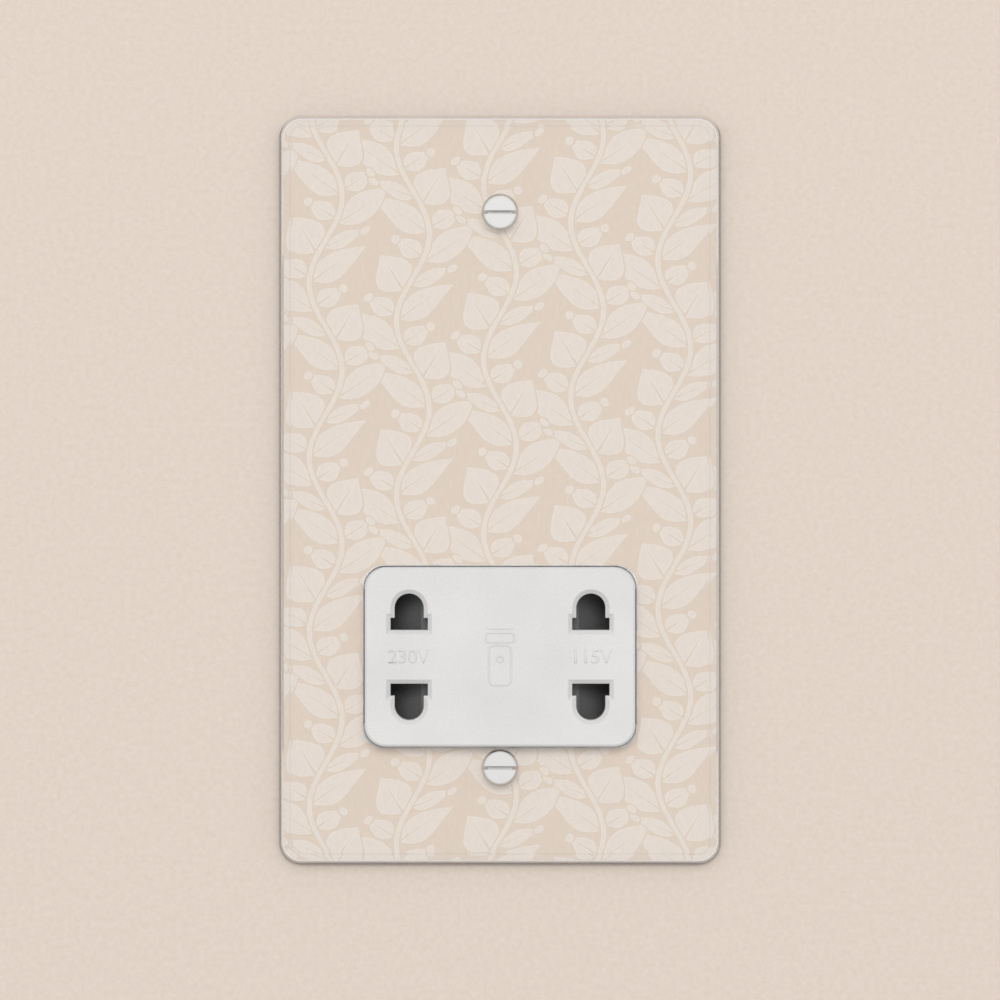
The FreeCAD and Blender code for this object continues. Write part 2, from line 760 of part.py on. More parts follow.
def make_contact(name, side, row):
    """Spring clip folded from brass strip, with a tag for its lead."""
    body = new_body(name)
    x = outlet_x * side
    z = module_z + contact_middle * row
    strip = S.contact_strip
    mouth_y = flange_back + S.contact_lead
    pinch_y = mouth_y + S.contact_mouth - S.contact_pinch + S.contact_lead
    heel_y = contact_back - S.contact_half_width
    right = [(S.contact_half_width, contact_back), (S.contact_half_width, heel_y),
             (S.contact_pinch + strip, pinch_y), (S.contact_mouth + strip, mouth_y),
             (S.contact_mouth, mouth_y), (S.contact_pinch, pinch_y),
             (S.contact_half_width - strip, heel_y), (S.contact_half_width - strip, contact_back - strip)]
    left = [(-across, depth) for across, depth in reversed(right)]
    add(body, "clip", "Z", z - S.contact_height / 2, z + S.contact_height / 2,
        polygon([(x + across, depth) for across, depth in right + left]))
    narrow = S.tag_half_width / 2
    tag = [(-S.tag_half_width, contact_back), (S.tag_half_width, contact_back),
           (S.tag_half_width, tag_end - narrow), (narrow, tag_end),
           (-narrow, tag_end), (-S.tag_half_width, tag_end - narrow)]
    add(body, "tag", "Z", z - S.tag_thickness / 2, z + S.tag_thickness / 2,
        polygon([(x + across, depth) for across, depth in tag]))
    return body


def make_housing_screws():
    """Pan head screws with a crossed recess, one at the bottom of each well."""
    bodies = []
    tip = frame_front + S.running_gap
    top = well_seat + S.housing_head_height
    reach = S.housing_head_radius * S.recess_ratio
    half_slot = S.small_slot_width / 2
    for side in SIDES:
        for z in wells.values():
            body = new_body("housing_screw")
            x = well_x * side
            turn(body, "screw", x, z,
                 [(tip, NOUGHT), (tip, S.housing_shank_radius), (well_seat, S.housing_shank_radius),
                  (well_seat, S.housing_head_radius), (top, S.housing_head_radius), (top, NOUGHT)])
            for name, across, high in (("slot", reach, half_slot), ("cross_slot", half_slot, reach)):
                cut(body, name, "Y", top - S.small_slot_depth, top + BEYOND, box_about(x, z, across, high))
            bodies.append(body)
    return group("housing_screws", bodies)


def make_transformer_core():
    """Stack of E and I laminations with two windows for the coil."""
    body = new_body("transformer_core")
    add(body, "stack", "Y", core_front, core_back,
        box_about(0, core_z, core_half, S.core_height / 2))
    window_half = S.core_window / 2
    window_x = core_limb / 2 + window_half
    window_half_height = S.core_height / 2 - core_side
    cut(body, "windows", "Y", core_front, core_back,
        *[box_about(window_x * side, core_z, window_half, window_half_height) for side in SIDES])
    return body


def coil_half_sizes(growth):
    """Half width and half depth of a rectangle that stands off the core's middle limb."""
    return core_limb / 2 + S.bobbin_fit + growth, S.core_stack / 2 + S.bobbin_fit + growth


def coil_levels():
    """Heights of the three flanges' lower faces, and of the coil's two chambers."""
    low = core_bottom + core_side
    high = core_top - core_side
    chamber = (high - low - S.bobbin_flange * 3) / 2
    pitch = chamber + S.bobbin_flange
    return [low, low + pitch, low + pitch * 2], chamber


def make_coil_bobbin():
    """Split bobbin that keeps the two windings apart."""
    body = new_body("coil_bobbin")
    flanges, _ = coil_levels()
    tube = coil_half_sizes(S.bobbin_wall)
    lip = coil_half_sizes(S.bobbin_wall + winding_build + S.bobbin_lip)
    add(body, "tube", "Z", flanges[0], flanges[2] + S.bobbin_flange, box_about(0, core_middle, *tube))
    for name, level in zip(("lower", "middle", "upper"), flanges):
        add(body, f"{name}_flange", "Z", level, level + S.bobbin_flange,
            box_about(0, core_middle, *lip))
    cut(body, "limb_opening", "Z", flanges[0] - BEYOND, flanges[2] + S.bobbin_flange + BEYOND,
        box_about(0, core_middle, *coil_half_sizes(NOUGHT)))
    return body


def make_winding(name, chamber_number):
    """One winding, filling its chamber of the bobbin."""
    body = new_body(name)
    flanges, chamber = coil_levels()
    low = flanges[chamber_number] + S.bobbin_flange
    outer = coil_half_sizes(S.bobbin_wall + winding_build)
    add(body, "turns", "Z", low, low + chamber, rounded(0, core_middle, *outer, S.winding_corner))
    cut(body, "tube_opening", "Z", low - BEYOND, low + chamber + BEYOND,
        box_about(0, core_middle, *coil_half_sizes(S.bobbin_wall)))
    return body


def make_thermal_cutout():
    """Self-resetting cut-out that lies on the core's upper yoke."""
    body = new_body("thermal_cutout")
    top = core_top + S.cutout_height
    add(body, "case", "Z", core_top, top,
        box_about(0, core_middle, S.cutout_width / 2, S.cutout_depth / 2))
    dress(body, "Fillet", "case_edges", along("Z"), {"Radius": S.cutout_edge})
    middle = core_top + S.cutout_height / 2
    reach = S.cutout_width / 2 + S.cutout_tag
    add(body, "tags", "Z", middle, middle + S.tag_thickness,
        box_about(0, core_middle, reach, S.tag_half_width))
    return body


def make_core_clamp(name, z):
    """Flat bar across the core, held to a pillar at each end."""
    body = new_body(name)
    half_height = S.clamp_height / 2
    add(body, "bar", "Y", core_front - S.clamp_thickness, core_front,
        box_about(0, z, pillar_x + S.pillar_half, half_height))
    return body


def make_rear_housing():
    """Moulded box behind the wall plane, with screw wells, pillars and a terminal bay."""
    body = new_body("rear_housing")
    middle = (housing_top + housing_bottom) / 2
    half_height = (housing_top - housing_bottom) / 2
    wall = S.housing_wall
    add(body, "shell", "Y", NOUGHT, housing_back,
        rounded(0, middle, housing_half, half_height, S.housing_corner_radius))
    dress(body, "Chamfer", "back_edge", at_depth(housing_back), {"Size": S.housing_edge})
    cut(body, "hollow", "Y", NOUGHT, housing_floor,
        rounded(0, middle, housing_inner_half, half_height - wall, S.housing_corner_radius - wall / 2))
    for name, front in (("upper", NOUGHT), ("lower", flange_back)):
        add(body, f"{name}_wells", "Y", front, housing_floor,
            *[circle(well_x * side, wells[name], S.well_radius) for side in SIDES])
    add(body, "pillars", "Y", core_front, housing_floor,
        *[box_about(pillar_x * side, z, S.pillar_half, S.pillar_half)
          for side in SIDES for z in clamp_z.values()])
    rib_x = core_half - S.rib_inset
    add(body, "core_ribs", "Y", core_back, housing_floor,
        *[box_about(rib_x * side, core_z, S.rib_width / 2, S.core_height / 2 - S.rib_width)
          for side in SIDES])
    bay_outer = bay_half + S.bay_wall
    add(body, "bay_tub", "Y", bay_front, housing_back - S.housing_edge,
        rectangle(-bay_outer, housing_low_inner, bay_outer, bay_top + S.bay_wall))
    cut(body, "terminal_bay", "Y", bay_floor, housing_back + BEYOND,
        rectangle(-bay_half, housing_bottom - BEYOND, bay_half, bay_top))
    divider_x = S.terminal_pitch / 2
    add(body, "bay_dividers", "Y", bay_floor, terminal_back,
        *[rectangle(divider_x * side - S.divider_width / 2, terminal_low,
                    divider_x * side + S.divider_width / 2, bay_top + S.bay_wall / 2)
          for side in SIDES])
    cut(body, "well_bores", "Y", well_seat, housing_back + BEYOND,
        *[circle(well_x * side, z, S.well_bore_radius) for side in SIDES for z in wells.values()])
    cut(body, "well_screw_holes", "Y", NOUGHT - BEYOND, well_seat,
        *[circle(well_x * side, z, S.housing_shank_radius + S.shank_clearance)
          for side in SIDES for z in wells.values()])
    tail_half = S.tag_half_width + S.tag_gap
    tail_height = S.tag_thickness / 2 + S.tag_gap
    cut(body, "tail_slots", "Y", bay_front, bay_floor,
        *[box_about(S.terminal_pitch * place, terminal_z, tail_half, tail_height)
          for place in TERMINALS.values()])
    cut(body, "bush_notch", "Y", NOUGHT, S.bush_length + S.bush_notch_room,
        circle(0, -screw_z, S.bush_radius + S.bush_notch_gap))
    first_vent = -(VENTS - 1) / 2
    cut(body, "vents", "Y", housing_floor, housing_back,
        *[box_about(S.vent_pitch * (first_vent + number), core_z, S.vent_width / 2, S.vent_height / 2)
          for number in range(VENTS)])
    return body


def make_terminal(name, place):
    """Brass pillar terminal with a wire hole from below and a tail into the housing."""
    body = new_body(name)
    x = S.terminal_pitch * place
    half_width = S.terminal_width / 2
    add(body, "pillar", "Y", bay_floor, terminal_back,
        rectangle(x - half_width, terminal_low, x + half_width, terminal_high))
    dress(body, "Chamfer", "pillar_edges", along("Z"), {"Size": S.terminal_edge})
    wire_y = bay_floor + S.wire_hole_depth
    cut(body, "wire_hole", "Z", terminal_low - BEYOND, terminal_high + BEYOND,
        circle(x, wire_y, S.wire_hole_radius))
    cut(body, "screw_hole", "Y", wire_y, terminal_back,
        circle(x, terminal_z, S.terminal_shank_radius + S.thread_clearance))
    add(body, "tail", "Y", bay_front - S.terminal_tail_proud, bay_floor,
        box_about(x, terminal_z, S.tag_half_width, S.tag_thickness / 2))
    return body


def make_terminal_screws():
    """Slotted screws that clamp the supply wires."""
    bodies = []
    tip = bay_floor + S.wire_hole_depth + S.wire_hole_radius + S.running_gap
    top = terminal_back + S.terminal_head_height
    for place in TERMINALS.values():
        body = new_body("terminal_screw")
        x = S.terminal_pitch * place
        turn(body, "screw", x, terminal_z,
             [(tip, NOUGHT), (tip, S.terminal_shank_radius), (terminal_back, S.terminal_shank_radius),
              (terminal_back, S.terminal_head_radius), (top, S.terminal_head_radius), (top, NOUGHT)])
        cut(body, "slot", "Y", top - S.small_slot_depth, top + BEYOND,
            box_about(x, terminal_z, S.terminal_head_radius + BEYOND, S.small_slot_width / 2))
        bodies.append(body)
    return group("terminal_screws", bodies)


pieces = [
    make_faceplate(),
    make_plate_screws(),
    make_paper_liner(),
    make_mounting_frame(),
    make_socket_front(),
    make_interlock_shutter(),
    make_centring_spring(),
    make_contact_carrier(),
    make_transformer_core(),
    make_coil_bobbin(),
    make_winding("secondary_winding", 0),
    make_winding("primary_winding", 1),
    make_thermal_cutout(),
    make_rear_housing(),
    make_housing_screws(),
    make_terminal_screws(),
]
for volts, side in OUTLETS.items():
    for row_name, row in ROWS.items():
        pieces.append(make_contact(f"contact_{volts}_{row_name}", side, row))
for bar_name, bar_z in clamp_z.items():
    pieces.append(make_core_clamp(f"core_clamp_{bar_name}", bar_z))
for wire_name, wire_place in TERMINALS.items():
    pieces.append(make_terminal(f"terminal_{wire_name}", wire_place))

doc.recompute()
for item in doc.Objects:
    if "Invalid" in item.State or "Error" in item.State:
        raise ValueError(f"{item.Label} failed: {item.State}")
for piece in pieces:
    if piece.Shape.isNull() or not piece.Shape.isValid():
        raise ValueError(f"{piece.Label} has no valid shape")

os.makedirs("parts", exist_ok=True)
for piece in pieces:
    piece.Shape.exportStep(f"parts/{piece.Label}.step")
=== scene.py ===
import json
import math

import bmesh
import bpy
from mathutils import Matrix, Vector


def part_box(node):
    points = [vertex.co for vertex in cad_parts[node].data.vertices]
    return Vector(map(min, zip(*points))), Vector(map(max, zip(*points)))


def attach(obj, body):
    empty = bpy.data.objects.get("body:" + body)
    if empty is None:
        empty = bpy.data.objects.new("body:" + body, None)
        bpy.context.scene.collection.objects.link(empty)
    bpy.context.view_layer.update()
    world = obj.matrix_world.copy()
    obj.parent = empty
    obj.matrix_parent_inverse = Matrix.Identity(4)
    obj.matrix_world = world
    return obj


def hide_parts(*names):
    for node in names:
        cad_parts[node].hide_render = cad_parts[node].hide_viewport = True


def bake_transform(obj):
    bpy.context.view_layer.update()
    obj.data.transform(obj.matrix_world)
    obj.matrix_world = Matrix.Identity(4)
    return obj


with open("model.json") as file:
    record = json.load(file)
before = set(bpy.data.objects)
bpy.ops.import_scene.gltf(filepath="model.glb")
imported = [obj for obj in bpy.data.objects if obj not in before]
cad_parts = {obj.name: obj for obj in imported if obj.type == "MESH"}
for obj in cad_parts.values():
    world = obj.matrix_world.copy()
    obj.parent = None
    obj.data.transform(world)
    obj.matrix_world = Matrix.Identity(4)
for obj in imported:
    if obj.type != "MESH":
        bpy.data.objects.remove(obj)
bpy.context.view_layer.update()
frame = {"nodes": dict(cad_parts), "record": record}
nodes = frame["nodes"]


MM_PER_METRE = 1000.0


def mm(length):
    return length * 0.001


# Places and levels of the CAD solids that the pieces and finishes share
plate_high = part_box("faceplate")[1]
FACE_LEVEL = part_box("socket_front")[0].y
BACK_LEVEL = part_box("rear_housing")[1].y
spring_low, spring_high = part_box("centring_spring")
shutter_low, shutter_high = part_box("interlock_shutter")
core_low, core_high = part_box("transformer_core")
FACE_MIDDLE = (shutter_low.z + shutter_high.z) / 2
PLATE_CORNER = mm(4.3)


# Shader building


def link(tree, source, target):
    tree.links.new(source, target)


def node(tree, kind, **settings):
    made = tree.nodes.new(kind)
    for name, value in settings.items():
        setattr(made, name, value)
    return made


def feed(tree, socket, value):
    """Sets a socket to a plain value, or links another socket to it."""
    if isinstance(value, bpy.types.NodeSocket):
        link(tree, value, socket)
    else:
        socket.default_value = value


def math_node(tree, operation, *values, clamp=False):
    made = node(tree, "ShaderNodeMath", operation=operation, use_clamp=clamp)
    for socket, value in zip(made.inputs, values):
        feed(tree, socket, value)
    return made.outputs[0]


def vector_math(tree, operation, *values):
    made = node(tree, "ShaderNodeVectorMath", operation=operation)
    for socket, value in zip(made.inputs, values):
        feed(tree, socket, value)
    return made.outputs[0]


def remap(tree, value, from_low, from_high, to_low=0.0, to_high=1.0, smooth=False):
    made = node(tree, "ShaderNodeMapRange")
    if smooth:
        made.interpolation_type = "SMOOTHSTEP"
    for name, number in (("Value", value), ("From Min", from_low), ("From Max", from_high),
                         ("To Min", to_low), ("To Max", to_high)):
        feed(tree, made.inputs[name], number)
    return made.outputs["Result"]


def mix_colour(tree, factor, first, second):
    made = node(tree, "ShaderNodeMix", data_type="RGBA")
    feed(tree, made.inputs["Factor"], factor)
    feed(tree, made.inputs[6], first)
    feed(tree, made.inputs[7], second)
    return made.outputs[2]


def noise(tree, where, scale, detail=2.0, roughness=0.5):
    made = node(tree, "ShaderNodeTexNoise")
    feed(tree, made.inputs["Vector"], where)
    made.inputs["Scale"].default_value = scale
    made.inputs["Detail"].default_value = detail
    made.inputs["Roughness"].default_value = roughness
    return made.outputs["Fac"]


def object_place(tree):
    return node(tree, "ShaderNodeTexCoord").outputs["Object"]


def stretched(tree, where, scale):
    made = node(tree, "ShaderNodeMapping")
    feed(tree, made.inputs["Vector"], where)
    made.inputs["Scale"].default_value = scale
    return made.outputs["Vector"]


def new_group(name, inputs, outputs):
    """A shader group with named sockets, and its two ends."""
    group = bpy.data.node_groups.new(name, "ShaderNodeTree")
    for label, kind, value in inputs:
        socket = group.interface.new_socket(label, in_out="INPUT", socket_type=kind)
        if value is not None:
            socket.default_value = value
    for label, kind in outputs:
        group.interface.new_socket(label, in_out="OUTPUT", socket_type=kind)
    return group, node(group, "NodeGroupInput").outputs, node(group, "NodeGroupOutput").inputs


def use_group(tree, group, **values):
    made = node(tree, "ShaderNodeGroup", node_tree=group)
    for label, value in values.items():
        feed(tree, made.inputs[label.replace("_", " ")], value)
    return made.outputs


FLOAT = "NodeSocketFloat"
WHOLE = "NodeSocketInt"
VECTOR = "NodeSocketVector"
SHAPE = "NodeSocketGeometry"
FINISH = "NodeSocketMaterial"


def make_spark_grain():
    """Fine eroded texture of a moulded face, with slow drifts of tone."""
    group, given, out = new_group(
        "spark grain",
        [("Place", VECTOR, None), ("Grain", FLOAT, 3500.0), ("Drift", FLOAT, 60.0)],
        [("Height", FLOAT), ("Tone", FLOAT)])
    fine = node(group, "ShaderNodeTexNoise")
    fine.inputs["Detail"].default_value = 4.0
    fine.inputs["Roughness"].default_value = 0.65
    link(group, given["Place"], fine.inputs["Vector"])
    link(group, given["Grain"], fine.inputs["Scale"])
    slow = node(group, "ShaderNodeTexNoise")
    slow.inputs["Detail"].default_value = 2.0
    link(group, given["Place"], slow.inputs["Vector"])
    link(group, given["Drift"], slow.inputs["Scale"])
    link(group, fine.outputs["Fac"], out["Height"])
    tone = math_node(group, "MULTIPLY_ADD", fine.outputs["Fac"], 0.55, 0.0)
    link(group, math_node(group, "MULTIPLY_ADD", slow.outputs["Fac"], 0.45, tone), out["Tone"])
    return group


def make_drawn_streaks():
    """Streaks of rolled or drawn metal along one direction, with cloudy patches between them."""
    group, given, out = new_group(
        "drawn streaks",
        [("Place", VECTOR, None), ("Stretch", VECTOR, (1.0, 1.0, 1.0)), ("Fineness", FLOAT, 900.0)],
        [("Streak", FLOAT), ("Cloud", FLOAT)])
    pulled = node(group, "ShaderNodeVectorMath", operation="MULTIPLY")
    link(group, given["Place"], pulled.inputs[0])
    link(group, given["Stretch"], pulled.inputs[1])
    streak = node(group, "ShaderNodeTexNoise")
    streak.inputs["Detail"].default_value = 3.0
    link(group, pulled.outputs[0], streak.inputs["Vector"])
    link(group, given["Fineness"], streak.inputs["Scale"])
    link(group, streak.outputs["Fac"], out["Streak"])
    link(group, noise(group, given["Place"], 140.0, 3.0), out["Cloud"])
    return group


# Trailing leaf print of the paper, in millimetres
STEM_SPACING = 17.0
STEM_DROP = 7.4
STEM_WAVE = 34.0
STEM_SWING = 3.2
STEM_HALF_WIDTH = 0.45
JOINT_PITCH = STEM_WAVE / 3
LEAF_LENGTH = 10.6
LEAF_WIDTH = 5.6
LEAF_LEAN = math.radians(50)
LEAF_STALK = 0.7
LEAFLET_LENGTH = 6.6
LEAFLET_WIDTH = 3.3
LEAFLET_LEAN = math.radians(62)
LEAFLET_LIFT = 1.2
BERRY_RADIUS = 0.8
BERRY_OFFSET = 6.6
BERRY_DROP = 1.0
PRINT_GAP = 0.4


def make_print_repeat():
    """Millimetres from the nearest copy of a motif on swaying stems, each a drop lower than the last."""
    group, given, out = new_group(
        "print repeat", [("Place", VECTOR, None), ("Middle", VECTOR, None)], [("Offset", VECTOR)])
    place = node(group, "ShaderNodeSeparateXYZ")
    link(group, given["Place"], place.inputs[0])
    middle = node(group, "ShaderNodeSeparateXYZ")
    link(group, given["Middle"], middle.inputs[0])
    beside = math_node(group, "SUBTRACT", place.outputs["X"], middle.outputs["X"])
    stem = math_node(group, "FLOOR", math_node(group, "MULTIPLY_ADD", beside, 1 / STEM_SPACING, 0.5))
    height = math_node(group, "MULTIPLY_ADD", stem, STEM_DROP, place.outputs["Y"])
    sway = math_node(group, "SINE", math_node(group, "MULTIPLY", height, 2 * math.pi / STEM_WAVE))
    across = math_node(group, "MULTIPLY_ADD", stem, -STEM_SPACING, beside)
    up = math_node(group, "SUBTRACT", height, middle.outputs["Y"])
    joined = node(group, "ShaderNodeCombineXYZ")
    link(group, math_node(group, "MULTIPLY_ADD", sway, -STEM_SWING, across), joined.inputs["X"])
    link(group, math_node(group, "WRAP", up, JOINT_PITCH / 2, -JOINT_PITCH / 2), joined.inputs["Y"])
    link(group, joined.outputs[0], out["Offset"])
    return group


def make_printed_leaf():
    """How far inside a pointed leaf a place is, in millimetres, less along its middle vein."""
    group, given, out = new_group(
        "printed leaf",
        [("Place", VECTOR, None), ("Middle", VECTOR, None), ("Turn", FLOAT, 0.0),
         ("Length", FLOAT, 9.0), ("Width", FLOAT, 4.0)],
        [("Depth", FLOAT)])
    nearest = use_group(group, PRINT_REPEAT, Place=given["Place"], Middle=given["Middle"])
    turned = node(group, "ShaderNodeVectorRotate", rotation_type="Z_AXIS")
    link(group, nearest["Offset"], turned.inputs["Vector"])
    link(group, given["Turn"], turned.inputs["Angle"])
    local = node(group, "ShaderNodeSeparateXYZ")
    link(group, turned.outputs["Vector"], local.inputs[0])
    half_length = math_node(group, "MULTIPLY", given["Length"], 0.5)
    along = math_node(group, "DIVIDE", local.outputs["X"], half_length)
    arch = math_node(group, "SUBTRACT", 1.0, math_node(group, "MULTIPLY", along, along))
    ovate = math_node(group, "MAXIMUM", math_node(group, "MULTIPLY_ADD", along, -0.35, 1.0), 0.4)
    half_width = math_node(group, "MULTIPLY", given["Width"], 0.5)
    reach = math_node(group, "MULTIPLY", math_node(group, "MULTIPLY", arch, ovate), half_width)
    across = math_node(group, "ABSOLUTE", local.outputs["Y"])
    blade = math_node(group, "SUBTRACT", reach, across)
    vein = math_node(group, "SUBTRACT", across, remap(group, along, -1.0, 0.75, 0.2, 0.02))
    past_vein = math_node(group, "GREATER_THAN", along, 0.7)
    vein = math_node(group, "ADD", vein, math_node(group, "MULTIPLY", past_vein, half_length))
    link(group, math_node(group, "MINIMUM", blade, vein), out["Depth"])
    return group


SPARK_GRAIN = make_spark_grain()
DRAWN_STREAKS = make_drawn_streaks()
PRINT_REPEAT = make_print_repeat()
PRINTED_LEAF = make_printed_leaf()


def new_material(name):
    material = bpy.data.materials.new(name)
    material.use_nodes = True
    tree = material.node_tree
    shader = tree.nodes["Principled BSDF"]
    return material, tree, shader


def add_bump(tree, shader, height, distance, strength=1.0):
    bump = node(tree, "ShaderNodeBump")
    bump.inputs["Distance"].default_value = distance
    bump.inputs["Strength"].default_value = strength
    link(tree, height, bump.inputs["Height"])
    link(tree, bump.outputs["Normal"], shader.inputs["Normal"])


def grey(level):
    return (level, level, level, 1.0)


def moulding(name, dark, light, rough, grain=3500.0, depth=mm(0.01), drift=60.0):
    """Moulded plastic with a fine spark grain."""
    material, tree, shader = new_material(name)
    out = use_group(tree, SPARK_GRAIN, Place=object_place(tree), Grain=grain, Drift=drift)
    shade = remap(tree, out["Tone"], 0.35, 0.65)
    link(tree, mix_colour(tree, shade, dark, light), shader.inputs["Base Color"])
    link(tree, remap(tree, out["Height"], 0.3, 0.7, *rough), shader.inputs["Roughness"])
    add_bump(tree, shader, out["Height"], depth)
    return material


def drawn_metal(name, dark, light, rough, stretch, fineness=900.0, depth=mm(0.006)):
    """Bare metal with streaks along the way it was rolled, drawn or turned."""
    material, tree, shader = new_material(name)
    out = use_group(tree, DRAWN_STREAKS, Place=object_place(tree), Stretch=stretch, Fineness=fineness)
    cloud = math_node(tree, "MULTIPLY", out["Cloud"], 0.5)
    blend = math_node(tree, "MULTIPLY_ADD", out["Streak"], 0.5, cloud)
    link(tree, mix_colour(tree, remap(tree, blend, 0.38, 0.62), dark, light), shader.inputs["Base Color"])
    link(tree, remap(tree, out["Cloud"], 0.35, 0.65, *rough), shader.inputs["Roughness"])
    add_bump(tree, shader, out["Streak"], depth)
    shader.inputs["Metallic"].default_value = 1.0
    return material


def print_leaves():
    """Middle, turn, length and width of a leaf and a leaflet on each side of a stem."""
    leaves = []
    for side in (-1, 1):
        foot = side * JOINT_PITCH / 4
        grown = (side * LEAF_LEAN, foot, LEAF_LENGTH, LEAF_WIDTH)
        small = (-side * LEAFLET_LEAN, foot + LEAFLET_LIFT, LEAFLET_LENGTH, LEAFLET_WIDTH)
        for lean, height, length, width in (grown, small):
            reach = LEAF_STALK + length / 2
            middle = (reach * math.sin(lean), height + reach * math.cos(lean), 0.0)
            leaves.append((middle, math.pi / 2 - lean, length, width))
    return leaves


def laid_over(tree, below, above):
    """Print depth where one motif lies over the others with a thin gap of bare ground round it."""
    bared = math_node(tree, "MULTIPLY_ADD", above, -1.0, -PRINT_GAP)
    return math_node(tree, "MAXIMUM", math_node(tree, "MINIMUM", below, bared), above)


def print_depth(tree):
    """How far inside the nearest printed motif a place is, in millimetres."""
    flat = node(tree, "ShaderNodeSeparateXYZ")
    in_millimetres = vector_math(tree, "MULTIPLY", object_place(tree), (MM_PER_METRE,) * 3)
    link(tree, in_millimetres, flat.inputs[0])
    joined = node(tree, "ShaderNodeCombineXYZ")
    link(tree, flat.outputs["X"], joined.inputs["X"])
    link(tree, flat.outputs["Z"], joined.inputs["Y"])
    place = joined.outputs[0]
    depth = -PRINT_GAP
    for middle, lean, length, width in print_leaves():
        leaf = use_group(tree, PRINTED_LEAF, Place=place, Middle=middle, Turn=-lean,
                         Length=length, Width=width)
        depth = laid_over(tree, depth, leaf["Depth"])
    for side in (-1, 1):
        middle = (side * BERRY_OFFSET, side * JOINT_PITCH / 4 - BERRY_DROP, 0.0)
        away = node(tree, "ShaderNodeVectorMath", operation="LENGTH")
        link(tree, use_group(tree, PRINT_REPEAT, Place=place, Middle=middle)["Offset"], away.inputs[0])
        depth = laid_over(tree, depth, math_node(tree, "SUBTRACT", BERRY_RADIUS, away.outputs["Value"]))
    stem = node(tree, "ShaderNodeSeparateXYZ")
    link(tree, use_group(tree, PRINT_REPEAT, Place=place)["Offset"], stem.inputs[0])
    stalk = math_node(tree, "SUBTRACT", STEM_HALF_WIDTH, math_node(tree, "ABSOLUTE", stem.outputs["X"]))
    return laid_over(tree, depth, stalk)


PAPER_GROUND = (0.73, 0.62, 0.525, 1.0)
PAPER_PRINT = (0.782, 0.705, 0.642, 1.0)
PAPER_OUTLINE = (0.815, 0.747, 0.682, 1.0)


def make_printed_paper():
    """Matt paper with a tonal leaf print and a faint fibre."""
    material, tree, shader = new_material("printed paper")
    depth = print_depth(tree)
    fibre = noise(tree, stretched(tree, object_place(tree), (1.0, 1.0, 0.45)), 1400.0, 4.0, 0.6)
    ragged = math_node(tree, "MULTIPLY_ADD", fibre, 0.18, math_node(tree, "SUBTRACT", depth, 0.09))
    inked = remap(tree, ragged, -0.06, 0.06)
    rim = math_node(tree, "SUBTRACT", inked, remap(tree, ragged, 0.16, 0.28))
    colour = mix_colour(tree, inked, PAPER_GROUND, PAPER_PRINT)
    colour = mix_colour(tree, math_node(tree, "MULTIPLY", rim, 0.6), colour, PAPER_OUTLINE)
    mottle = remap(tree, fibre, 0.3, 0.7, 0.96, 1.03)
    link(tree, vector_math(tree, "MULTIPLY", colour, mottle), shader.inputs["Base Color"])
    link(tree, remap(tree, fibre, 0.3, 0.7, 0.75, 0.9), shader.inputs["Roughness"])
    add_bump(tree, shader, math_node(tree, "MULTIPLY_ADD", inked, 0.6, fibre), mm(0.01))
    return material


# Bands of the clear plate, measured inwards from its outline, and levels in front of the wall
EDGE_DEPTH = mm(0.06)
LIP_DEPTH = mm(0.3)
FOOT_DEPTH = mm(1.05)
RIM_DEPTH = mm(1.5)
BEVEL_WIDTH = mm(2.3)
CREASE_WIDTH = mm(0.6)
BEVEL_LEVEL = mm(-3.6)
SEAL_LEVEL = mm(-1.2)
SEAL_BLUR = mm(0.1)
SEAL_TOP = (mm(3.0), mm(1.0))

# How the plate's faces look forwards, as the share of their normal along Y
STEEP_FACING = (0.73, 0.8)
SLOPED_FACING = (0.9, 0.96)

CLEAR_TINTS = ((0.985, 0.985, 0.98, 1.0), (1.0, 1.0, 0.995, 1.0))
BEVEL_TINT = (0.985, 0.99, 0.995, 1.0)
# Drilled walls: their own dull grey, darkened further as painted shade in the gap round the module
HOLE_GREY_AND_SHADE = (0.4, 0.39, 0.38, 1.0)
# Faint painted contact shade on the rim's back face, where it bears on the wall
FOOT_PAINTED_SHADE = (0.97, 0.965, 0.96, 1.0)
# Painted shade: a dark line along the bevel's inner crease
CREASE_PAINTED_SHADE = (0.86, 0.86, 0.875, 1.0)
# Painted shade: a dark line along the bevel's outer lip that stands in for the plate's contact shadow
LIP_PAINTED_SHADE = grey(0.22)
SAWN_TINT = (0.70, 0.69, 0.67, 1.0)
EDGE_LIGHT = grey(0.78)
SEAL_LIGHT = grey(0.05)
POLISH = (0.012, 0.03)
BEVEL_HAZE = 0.15
FROST = (0.5, 0.75)
ACRYLIC_IOR = 1.49
INNER_TURNS = 3.0


def plate_depth(tree):
    """How far a place lies inside the plate's rounded outline."""
    flat = node(tree, "ShaderNodeSeparateXYZ")
    link(tree, object_place(tree), flat.inputs[0])
    past = node(tree, "ShaderNodeCombineXYZ")
    for axis, half in (("X", plate_high.x), ("Z", plate_high.z)):
        side = math_node(tree, "ABSOLUTE", flat.outputs[axis])
        over = math_node(tree, "MAXIMUM", math_node(tree, "SUBTRACT", side, half - PLATE_CORNER), 0.0)
        link(tree, over, past.inputs[axis])
    length = node(tree, "ShaderNodeVectorMath", operation="LENGTH")
    link(tree, past.outputs[0], length.inputs[0])
    return math_node(tree, "SUBTRACT", PLATE_CORNER, length.outputs["Value"])


